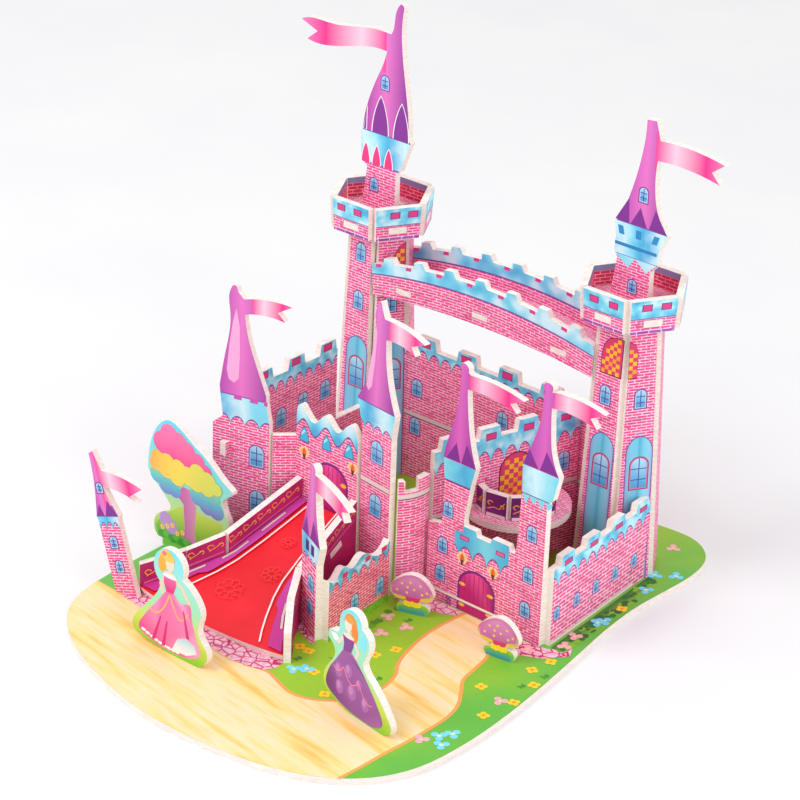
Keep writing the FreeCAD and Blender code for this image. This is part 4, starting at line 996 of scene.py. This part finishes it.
# Base board: sand path with its orange edge, paving, hedge and flowers
def front_rim():
    """Front of the base board's outline from left to right, in plan millimetres."""
    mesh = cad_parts["base_board"].data
    corners = set()
    for polygon in mesh.polygons:
        places = [mesh.vertices[v].co for v in polygon.vertices]
        heights = [place.z * 1000 for place in places]
        if abs(polygon.normal.z) < 0.01 and min(heights) < 0.1 and max(heights) > SHEET - 0.1:
            corners.update((round(place.x * 1000 + ZERO[0], 3),
                            round(place.y * 1000 + ZERO[1], 3)) for place in places)
    chain = []
    for x, y in sorted(corners):
        while len(chain) > 1 and ((chain[-1][0] - chain[-2][0]) * (y - chain[-2][1])
                                  <= (chain[-1][1] - chain[-2][1]) * (x - chain[-2][0])):
            chain.pop()
        chain.append((x, y))
    return chain


def smooth(points, count=6):
    """Points along a curve through the given points."""
    out = []
    for n in range(len(points) - 1):
        near = points[max(n - 1, 0)], points[n], points[n + 1], points[min(n + 2, len(points) - 1)]
        for m in range(count):
            t = m / count
            out.append(tuple(0.5 * (2 * b + (c - a) * t + (2 * a - 5 * b + 4 * c - d) * t ** 2
                                    + (3 * b - a - 3 * c + d) * t ** 3) for a, b, c, d in zip(*near)))
    return out + [points[-1]]


def swag(a, b, dip, count=8):
    """Points of a line that hangs from one point to another."""
    return [(a[0] + (b[0] - a[0]) * n / count,
             a[1] + (b[1] - a[1]) * n / count - 4 * dip * n * (count - n) / count ** 2)
            for n in range(count + 1)]


def on_board(x, y, reach):
    """The place, moved inward until a print of that reach stays on the base board."""
    board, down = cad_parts["base_board"], Vector((0, 0, -1))
    for _ in range(30):
        ring = [metres(a, b, 20) for a, b in oval(x, y, reach, count=12)]
        if all(board.ray_cast(place, down)[0] for place in ring):
            break
        x, y = x + (60 - x) * 0.006, y + (-80 - y) * 0.006
    return x, y


BOARD = Deck(SHEET)
inner = smooth([(-37.6, -142), (-20, -143.4), (4, -146.2), (26, -147.4), (44.2, -149.4), (58.9, -146), (67.7, -148.5),
                (76.7, -151.2), (85.1, -149.5), (92.6, -144), (98.1, -135.3), (100, -125), (97.6, -114.5),
                (92.5, -106.5),
                (89, -97), (86.2, -84), (85.6, -72), (86.6, -58.4)])
outer = smooth([(105.6, -58.6), (109, -71.5), (114.1, -78.2), (116.6, -89), (118.6, -98.4), (123.4, -105.6),
                (128.6, -113.6),
                (131.3, -122.4), (131.8, -132), (131.6, -146), (130.8, -158), (130.4, -172), (129.6, -183)])
front = [(x + (45 - x) * 0.001, y + 0.06) for x, y in reversed(front_rim()) if y < -141.9 and x < 129.4]
p = Print(BOARD, "print_sand_path", "base_print")
p.shape(inner + outer + front, WHITE)
p.build(SAND)
p = Print(BOARD, "print_path_edge", "base_print")
p.line(inner[26:], 1.5, (240, 160, 88), 1).line(outer, 1.5, (242, 164, 84), 1)
p.line(inner[:26], 1, (246, 196, 110), 1)
p.build()
p = Print(BOARD, "print_paving", "base_print")
for outline in (
        [(-22, -143.6), (4, -146.4), (26, -147.6), (44, -149.2), (57, -147), (60.5, -142.6), (60, -135), (40, -118),
         (2, -118),
         (-20, -134)],
        [(65.5, -58.4), (65.2, -64.6), (72, -66.6), (80, -65.2), (85, -62.4), (85.5, -58.6)],
        [(112, -60), (113, -66), (120, -70.4), (131, -64.6), (137.6, -56), (134.4, -50.6), (127.6, -57.8)],
        [(38.5, -117.5), (42, -121), (45.5, -113.5), (58.5, -119), (57.5, -114.5), (44, -109)]):
    p.shape(outline, WHITE, 2)
p.build(PAVING)

p = Print(BOARD, "print_hedge", "base_print")
hedge = ramp_of((0, (44, 110, 44)), (3, (92, 160, 40)), (7, (146, 192, 50)))
line = [(128.2 - 6.4 * n / 24, -56 + 73 * n / 24) for n in range(25)]
for n, ((x0, y0), (x1, y1)) in enumerate(zip(line, line[1:])):
    w0, w1 = (5.6 + 1.6 * math.sin(1.9 * m) + 0.8 * math.sin(4.1 * m) for m in (n, n + 1))
    p.shape([(x0, y0), (x0 + w0, y0), (x1 + w1, y1), (x1, y1)], lambda a, b: hedge(a - (128.2 - 6.4 * (b + 56) / 73)),
            1)
for n in range(80):
    t = random.random()
    p.shape(oval(128.8 - 6.4 * t + random.uniform(0.4, 5.6), -55 + 71 * t, random.uniform(0.6, 1.5),
                 random.uniform(0.8, 2), 8),
            random.choice(((40, 116, 44), (134, 190, 44), (44, 104, 48))), 2)
for x, y in ((64.5, -74.5), (63, -108), (64, -92)):
    for n in range(6):
        p.shape(oval(x + random.uniform(-0.8, 2.2), y + n * 2.6, 1.8, 1.6, 9),
                random.choice(((110, 176, 40), (140, 196, 48), (86, 150, 40))), 1)
p.build()

p = Print(BOARD, "print_flowers", "base_print")
for size, petal, heart, petals, places in (
        (2.6, (255, 208, 40), (236, 150, 40), 4,
         ((143.6, -82.6), (133.1, -74.2), (134.6, -64.3), (144, -98), (126.6, -97.4), (140.4, -113), (61.2, -123.5),
          (73.2, -133.8), (87, -143), (85, -99.1), (81.8, -107.9), (129.8, -11.7), (56, -128))),
        (3.4, (118, 220, 246), (210, 236, 200), 3,
         ((66.1, -137.5), (137.6, -135.6), (142.2, -139.8), (133.3, -22.6), (129.6, -27.5), (122.8, 20.2),
          (129.7, 25.5),
          (127.7, 7.3), (140.4, -131), (69.6, -134))),
        (3.2, (252, 176, 186), (250, 206, 170), 3,
         ((138.5, -100.6), (122, -63), (131, -51), (129.6, -42.3), (72.3, -93.5), (76.5, -83.1), (134.2, -141.9),
          (114.7, 44.3), (66.1, -82)))):
    for x, y in places:
        blossom(p, *on_board(x, y, size + 0.2), size, petal, heart, petals, turn=random.uniform(0, 1.5))
for x, y in ((70, -122), (136, -88), (138, -76), (92.5, -122), (60, -132), (72, -80)):
    for n in range(7):
        s, t = x + n * 0.5, 0.3 + n * 0.33
        p.line([(s, y), (s + 1.2 * math.cos(t), y + 0.9), (s + 3.4 * math.cos(t), y + 1 + 2.2 * math.sin(t))],
               0.32, (74, 150, 62), 2)
p.build()

# Ramp deck and rails
low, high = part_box("ramp_deck")
FRONT = low.y * 1000 + ZERO[1]
AXIS = (low.x + high.x) / 2 * 1000 + ZERO[0]
RAMP = Deck(SHEET + SHEET / math.cos(math.radians(SLOPE)), SLOPE, FRONT)
# Half widths of the carpet's white lines and of the deck between its walls, by plan y
LINE_HALF = ((-137.4, 26.6), (-132, 23), (-126, 19.6), (-117, 15.2), (-109, 12.4), (-96, 10), (-84, 8.4),
             (-70.4, 6.8))
WALL_HALF = ((-137.4, 38.2), (-122.6, 26.9), (-108, 18.2), (-69.6, 12.9))


def along_table(table, y):
    for (y0, w0), (y1, w1) in zip(table, table[1:]):
        if y <= y1:
            return w0 + (w1 - w0) * (y - y0) / (y1 - y0)
    return table[-1][1]


p = Print(RAMP, "print_carpet", "ramp_print")
steps = [-137 + 66.4 * n / 30 for n in range(31)]
mauve = along(1, (-137, (196, 44, 140)), (-100, (204, 74, 176)), (-70, (196, 60, 160)))
for side in (-1, 1):
    for y0, y1 in zip(steps, steps[1:]):
        a0, a1 = (along_table(LINE_HALF, y) + 2.4 + 2 * (y < -120) for y in (y0, y1))
        b0, b1 = (along_table(WALL_HALF, y) for y in (y0, y1))
        p.shape([(AXIS + side * half, y) for half, y in ((a0, y0), (b0, y0), (b1, y1), (a1, y1))], mauve, 1)
    p.line([(AXIS + side * along_table(LINE_HALF, y), y) for y in steps], 0.7, (255, 240, 236), 2)
    for y0, y1 in ((-128, -117), (-111, -99), (-92, -80)):
        ends = [(AXIS + side * (along_table(WALL_HALF, y) - 1.4), y) for y in (y0, (y0 + y1) / 2, y1)]
        p.line(ends, 1.5, (120, 40, 90), 2).line([(x - side * 0.1, y) for x, y in ends], 1, (226, 206, 196), 3)
for x, y, r in ((AXIS - 4, -122, 6.5), (AXIS + 6, -108, 5), (AXIS, -92, 3.6)):
    for s, z in oval(x, y, r * 0.6, r * 0.5, 8):
        p.line(oval(s, z, r * 0.32, r * 0.28, 10), 0.35, (244, 50, 52), 1)
p.build()

for node, faces in (("ramp_left_wall", ((51, (-20.4, -135.2), 18.4), (59, (-8.8, -120.9), 16.2),
                                        (82, (-0.5, -107), 37))),
                    ("ramp_right_wall", ((129, (62.4, -135.2), 18.4), (121, (50.8, -120.9), 16.2),
                                         (98, (42.5, -107), 37)))):
    for heading, start, length in faces:
        p = Print(Face(node, heading, start), f"print_{node}_{heading}", "ramp_print")
        rise = math.sin(math.radians(heading)) * math.tan(math.radians(SLOPE))
        foot = RAMP.height + (start[1] - FRONT) * RAMP.slope
        p.line([(s, foot + 0.9 + rise * s) for s in (0.6, length - 0.6)], 0.8, (214, 90, 150), 1)
        count = max(1, int(length / 6.2))
        for n in range(count):
            s = (n + 0.5) * length / count
            z = foot + rise * s + 4.8
            scroll(p, s - 1.2, z, 2.3, (250, 160, 60), 1, 2, 0.42)
            scroll(p, s + 1.4, z + 0.6, 1.7, (250, 190, 70), -1, 2, 0.36)
            p.line([(s - 2.9, z - 1.7 - rise), (s, z - 0.4), (s + 2.8, z + 1.2 + rise)], 0.36, (250, 176, 60), 3)
        p.build()

for heading in RAIL_HEADINGS:
    p = Print(Face("balcony_rail", heading, RAIL_CENTRE), f"print_rail_{heading}", "balcony_print")
    p.shape(box(-4.3, 35.1, 4.3, 36.6), (236, 216, 214), 1)
    scroll(p, -1.8, 41.4, 2, GOLD, 1, 2, 0.45)
    scroll(p, 2, 40.6, 1.6, (252, 170, 50), -1, 2, 0.4)
    p.line([(-3.8, 38.4), (-1, 39.6), (1.5, 39.2), (3.9, 42.4)], 0.42, GOLD, 3)
    p.build()

# Stand-up pieces
p = Print("tree", "print_tree", "tree_print")
p.shape([(3.4, 3.6), (1.8, 8), (4.8, 13.2), (11.4, 18), (15, 21), (26, 22), (39.6, 21.4), (36.6, 12.6), (32.6, 7.2),
         (27.6, 3.6)], along(1, (3, (70, 160, 50)), (12, (150, 200, 60)), (22, (206, 218, 90))), 1)
p.shape([(17, 31), (21.4, 31), (24.8, 24), (24, 12), (26.6, 4), (16.4, 4), (18.4, 12), (17.6, 23), (13.6, 26.4)],
        along(0, (16, (196, 96, 170)), (25, (226, 148, 186))), 2)
for ink, layer, squash, lobes in (
        (along(1, (21, (150, 90, 190)), (26, (110, 150, 214)), (31, (96, 206, 206)), (36, (170, 218, 130))), 3, 0.9,
         ((2.6, 31.6, 4.2), (8, 28.6, 4.6), (12.6, 27.6, 3.6), (25.8, 29.6, 4.6), (31, 27.4, 4.8), (36, 26.6, 4.4),
          (34, 31.8, 4.4), (7, 33.4, 4.6), (28, 32.8, 4.6))),
        (along(1, (40, (236, 70, 140)), (46, (250, 104, 164)), (58, (252, 128, 178))), 4, 0.95,
         ((9.4, 52, 5.2), (5.6, 47.4, 5.4), (14.6, 50, 5.4), (10.5, 45.8, 6.4), (19.6, 47.6, 5), (18, 43, 5.4),
          (25.4, 45.2, 4.2), (25, 42.6, 4.6), (30.2, 42.4, 3.4))),
        (along(0, (-2, (250, 172, 84)), (6, (252, 206, 84)), (16, (246, 222, 88)), (30, (222, 222, 92)),
               (38, (214, 224, 96))),
         5, 0.9, ((2.6, 39.6, 3.8), (1.6, 36.4, 3.4), (8.4, 39.4, 4.2), (7.8, 36, 4.6), (14.6, 38.2, 4.8),
                  (14, 34.6, 4.6),
                  (20.4, 37, 4.8), (25.6, 40.2, 4.6), (25, 35.8, 4.6), (31.4, 38.4, 4.8), (31, 35.4, 4.2),
                  (36.2, 36.6, 3.2)))):
    for s, z, r in lobes:
        p.shape(oval(s, z, r, r * squash, 14), ink, layer)
for s, z in ((7.4, 12.4), (10.6, 10)):
    p.shape(oval(s, z, 3.6, 3.6, 12), (188, 148, 210), 3)
for n in range(9):
    s = 5.2 + n * 2.9
    p.shape(oval(s, 5 + (n % 2) * 0.8, 2.3, 1.6, 10), ((52, 158, 60), (96, 186, 56))[n % 2], 6)
    if n < 5:
        blossom(p, s + 0.4, 8.2 + 1.4 * (n % 3), 1.3, (252, 200, 110), (244, 130, 60), 5, 7)
p.build()


def ovals(p, *rows):
    """Ovals as rows of layer, colour, run, height, half width, half height and corner count."""
    for layer, ink, *place in rows:
        p.shape(oval(*place), ink, layer)


SKIN = (250, 206, 180)
p = Print("left_figure", "print_left_figure", "figure_print")
p.line([(2.4, 36.4), (6.6, 34.4), (10.6, 29)], 1.5, SKIN, 1).line([(-2.8, 36.2), (-5, 32.6), (-4, 28.6)], 1.5, SKIN,
        1)
cloth = ramp_of((-16, (236, 66, 140)), (-9, (252, 150, 194)), (-3, (240, 80, 150)), (3, (255, 170, 206)),
                (9, (240, 84, 152)), (15, (252, 160, 200)))
p.shape(smooth([(-2, 30.4), (1.8, 30.4), (5.4, 27.8), (10.6, 28.4), (11.8, 22), (14, 15.4), (16.4, 9.4), (11, 5.4),
                (2, 4.2),
                (-7.6, 5), (-17, 8.4), (-13.4, 15.8), (-7.4, 23.4), (-2, 30.4)]), lambda a,
        b: cloth(a - (b - 18) * 0.25), 2)
p.shape([(1, 5.6), (4, 11.4), (8.6, 13.4), (13.2, 11.6), (14.4, 8.6), (9, 5.8)],
        along(1, (5, (252, 252, 252)), (14, (170, 206, 226))), 3)
for n in range(9):
    p.shape(oval(-14.4 + n * 2.3, 8.4 - 0.32 * n - 1.2 * math.sin(n * 0.35), 1.3, 0.7, 8), WHITE, 3)
for a, b, dip in (((-10.6, 19.4), (-0.2, 29.2), 4.4), ((0.2, 29.2), (9.4, 24.4), 6.4)):
    p.line(swag(a, b, dip), 0.6, (252, 186, 80), 3)
for s, z, lean in ((-9, 10, 0.5), (-3.6, 9, 0.25), (9.6, 17, -0.3)):
    top = s + 8 * lean
    p.shape([(s - 0.9, z - 3.6), (s + 0.9, z - 3.6), (top + 0.3, z + 8), (top - 0.3, z + 8)], (212, 44, 124), 3)
p.shape([(-3, 37.4), (3, 37.4), (3.4, 34.6), (1.8, 30.2), (-2, 30.2), (-3.4, 34.2)],
        along(1, (30, (220, 36, 116)), (38, (250, 110, 168))), 4)
ovals(p, (3, (250, 190, 70), -1.6, 44.2, 3.9, 4, 16), (3, (244, 172, 56), -4.2, 41.4, 2.2, 3.6, 12))
p.shape(box(-0.9, 37.6, 0.9, 41), (250, 210, 186), 4)
ovals(p, (4, (252, 220, 198), 0, 38, 3.4, 1.2, 14), (5, WHITE, 0, 37.2, 3.8, 0.8, 14),
      (5, (252, 218, 196), 0, 42.6, 2.3, 2.9, 16),
      (6, (252, 200, 84), -0.5, 45, 2.9, 1.6, 14), (7, (240, 110, 140), -2.9, 46.4, 1.2, 1, 10))
p.build()

SKIN = (250, 214, 200)
p = Print("right_figure", "print_right_figure", "figure_print")
p.line([(-4.6, 34.6), (-8, 30.8), (-10.2, 31.6)], 1.4, SKIN, 1).line([(1.2, 34.8), (3.6, 31), (2, 28)], 1.4, SKIN, 1)
p.shape([(-10.6, 31), (-12.4, 33.4), (-9.4, 33.8), (-7.2, 32.4), (-9.4, 30.6)], (250, 246, 248), 2)
silk = ramp_of((-14, (116, 60, 130)), (-9, (170, 104, 180)), (-4, (128, 66, 144)), (2, (186, 120, 192)),
               (8, (124, 62, 140)),
               (13, (180, 112, 186)), (18, (118, 58, 132)))
p.shape(smooth([(-5.2, 28.6), (-0.4, 29.4), (4.6, 25.6), (10.4, 19.8), (16, 13), (18.6, 7.2), (13.6, 3.8), (2, 3.8),
                (-7.2, 5.6),
                (-14.4, 9.8), (-13, 17), (-9, 23), (-5.2, 28.6)]), lambda a, b: silk(a + (b - 18) * 0.3), 2)
for s, z, r in ((-7.4, 19, 3.2), (-1.6, 21, 3), (-6.6, 12, 3.2), (0.6, 12.8, 3.6), (8.4, 11, 3.2), (4.6, 17.8, 2.4)):
    ovals(p, (3, (172, 106, 180), s, z, r * 0.7, r, 12),
          (4, (192, 134, 198), s - 0.5, z + 0.6, r * 0.36, r * 0.55, 10))
for a, b, dip in (((-10.4, 20), (-4.4, 21.6), 2.2), ((-4.4, 21.6), (4.4, 19), 4.2), ((4.4, 19), (12.6, 12.4), 2.8)):
    p.line(swag(a, b, dip), 0.5, (236, 130, 160), 5)
p.shape([(-5.4, 35.4), (1.6, 35.8), (0.6, 31.8), (-0.4, 29.2), (-5, 28.6), (-4.6, 32)], (132, 66, 146), 5)
ovals(p, (3, (240, 150, 70), -1.2, 42, 3.6, 3.6, 16), (3, (236, 138, 60), 1.4, 38.4, 1.8, 4, 12))
p.shape(box(-2.8, 35.4, -1.2, 39.4), (250, 220, 206), 4)
ovals(p, (4, (252, 226, 212), -2, 35.8, 3.2, 1, 14), (5, (252, 226, 212), -2.4, 40.6, 2.1, 2.6, 16),
      (6, (246, 160, 80), -1.6, 43, 2.6, 1.5, 14), (1, (130, 226, 246), 6.4, 36.4, 1.5, 3.2, 12))
p.build()

for key in ("left_stool", "right_stool"):
    p = Print(key, f"print_{key}", "flower_print")
    p.shape([(-1.4, 3.4), (-1.6, 5.4), (1.8, 7.2), (7, 7.2), (9.6, 5.8), (9.2, 3.4)],
            along(1, (3.4, (52, 140, 190)), (6.4, (124, 200, 60))), 1)
    p.shape([(1.8, 6.6), (1.6, 9.2), (0.6, 11.4), (7.8, 11.4), (7, 9), (6.8, 6.6)], (226, 52, 118), 2)
    for n in range(5):
        p.shape(oval(1.4 + n * 1.4, 7.6 - 0.3 * (n % 2), 1.1, 1.3, 10), (255, 222, 44), 3)
    p.shape([(-4.4, 11), (-4.6, 13), (-2.8, 16), (0.4, 18.6), (4.2, 19.6), (8.6, 17.4), (11.4, 14.4), (11.6, 12),
             (6.6, 10.6),
             (0.6, 10.4)], along(1, (10, (196, 100, 170)), (19, (226, 140, 198))), 4)
    for s, z in ((-2.4, 13), (-0.4, 16.2), (1.8, 12.4), (3.2, 17.2), (4.8, 14.2), (7.4, 16.4), (8.2, 12.6),
                 (10.2, 13.8),
                 (2, 14.8)):
        p.shape(oval(s, z, 0.55, 0.55, 8), (252, 216, 80), 5)
    p.build()


def leaning(s, z):
    """Place on the turret's sheet of a shape drawn as if it stood upright."""
    c, t = math.cos(math.radians(TURRET_LEAN)), math.sin(math.radians(TURRET_LEAN))
    across, above = s - TURRET_FOOT, z - SHEET
    return TURRET_FOOT + across * c - above * t, SHEET + across * t + above * c


p = Print("turret", "print_turret")
p.warp = leaning
spikes(p, (0, 3.6, 37.5, 2.2, 42.6), (4.2, 9.6, 37.5, 6.4, 44.4))
window(p, 4.4, 49.6, 2.8, 4.2)
windows(p, 3.4, 5, (4.9, 26), (4.9, 15.4))
p.build()


def stage():
    """Pale floor, even studio light and the camera of the picture."""
    net = Net("studio_floor")
    tone = net.ease(net.noise(net.vector(*net.plan()), 0.01), 0.2, 0.8)
    surface = net.add("ShaderNodeBsdfPrincipled", {
        "Base Color": net.mix(tone, (233, 233, 235), (237, 237, 238)), "Roughness": 0.9, "Specular IOR Level": 0.1})
    net.add("ShaderNodeOutputMaterial", {"Surface": surface.outputs[0]})
    mesh = bpy.data.meshes.new("floor")
    mesh.from_pydata([(-4, -4, 0), (4, -4, 0), (4, 4, 0), (-4, 4, 0)], [], [(0, 1, 2, 3)])
    mesh.materials.append(net.material)
    floor = bpy.data.objects.new("floor", mesh)
    bpy.context.scene.collection.objects.link(floor)

    world = bpy.data.worlds.new("studio")
    bpy.context.scene.world = world
    world.use_nodes = True
    background = world.node_tree.nodes["Background"]
    background.inputs[0].default_value = (1.0, 1.0, 1.0, 1.0)
    background.inputs[1].default_value = 0.92

    def softbox(name, place, aim, size, power):
        light = bpy.data.lights.new(name, "AREA")
        light.shape = "RECTANGLE"
        light.size, light.size_y = size
        light.energy = power
        thing = bpy.data.objects.new(name, light)
        thing.location = place
        thing.rotation_euler = (Vector(aim) - Vector(place)).to_track_quat("-Z", "Y").to_euler()
        bpy.context.scene.collection.objects.link(thing)

    softbox("key", (-0.45, -0.75, 1.15), (0, 0, 0.05), (0.7, 0.7), 7.0)
    softbox("fill", (1.2, -0.3, 0.7), (0, 0, 0.08), (0.8, 0.8), 4.0)

    a, e, r = (math.radians(turn) for turn in CAMERA_TURNS)
    back = Vector((math.sin(a) * math.cos(e), -math.cos(a) * math.cos(e), math.sin(e)))
    right = Vector((math.cos(a), math.sin(a), 0))
    up = back.cross(right)
    x_axis = right * math.cos(r) + up * math.sin(r)
    y_axis = up * math.cos(r) - right * math.sin(r)
    place = Vector((-ZERO[0] / 1000, -ZERO[1] / 1000, CAMERA_AIM)) + back * CAMERA_DISTANCE
    data = bpy.data.cameras.new("camera")
    data.lens, data.sensor_width = 135, 36
    data.clip_start = 0.05
    camera = bpy.data.objects.new("camera", data)
    camera.matrix_world = Matrix(((x_axis.x, y_axis.x, back.x, place.x), (x_axis.y, y_axis.y, back.y, place.y),
                                  (x_axis.z, y_axis.z, back.z, place.z), (0, 0, 0, 1)))
    bpy.context.scene.collection.objects.link(camera)
    bpy.context.scene.camera = camera
    bpy.context.scene.view_settings.view_transform = "Standard"


stage()
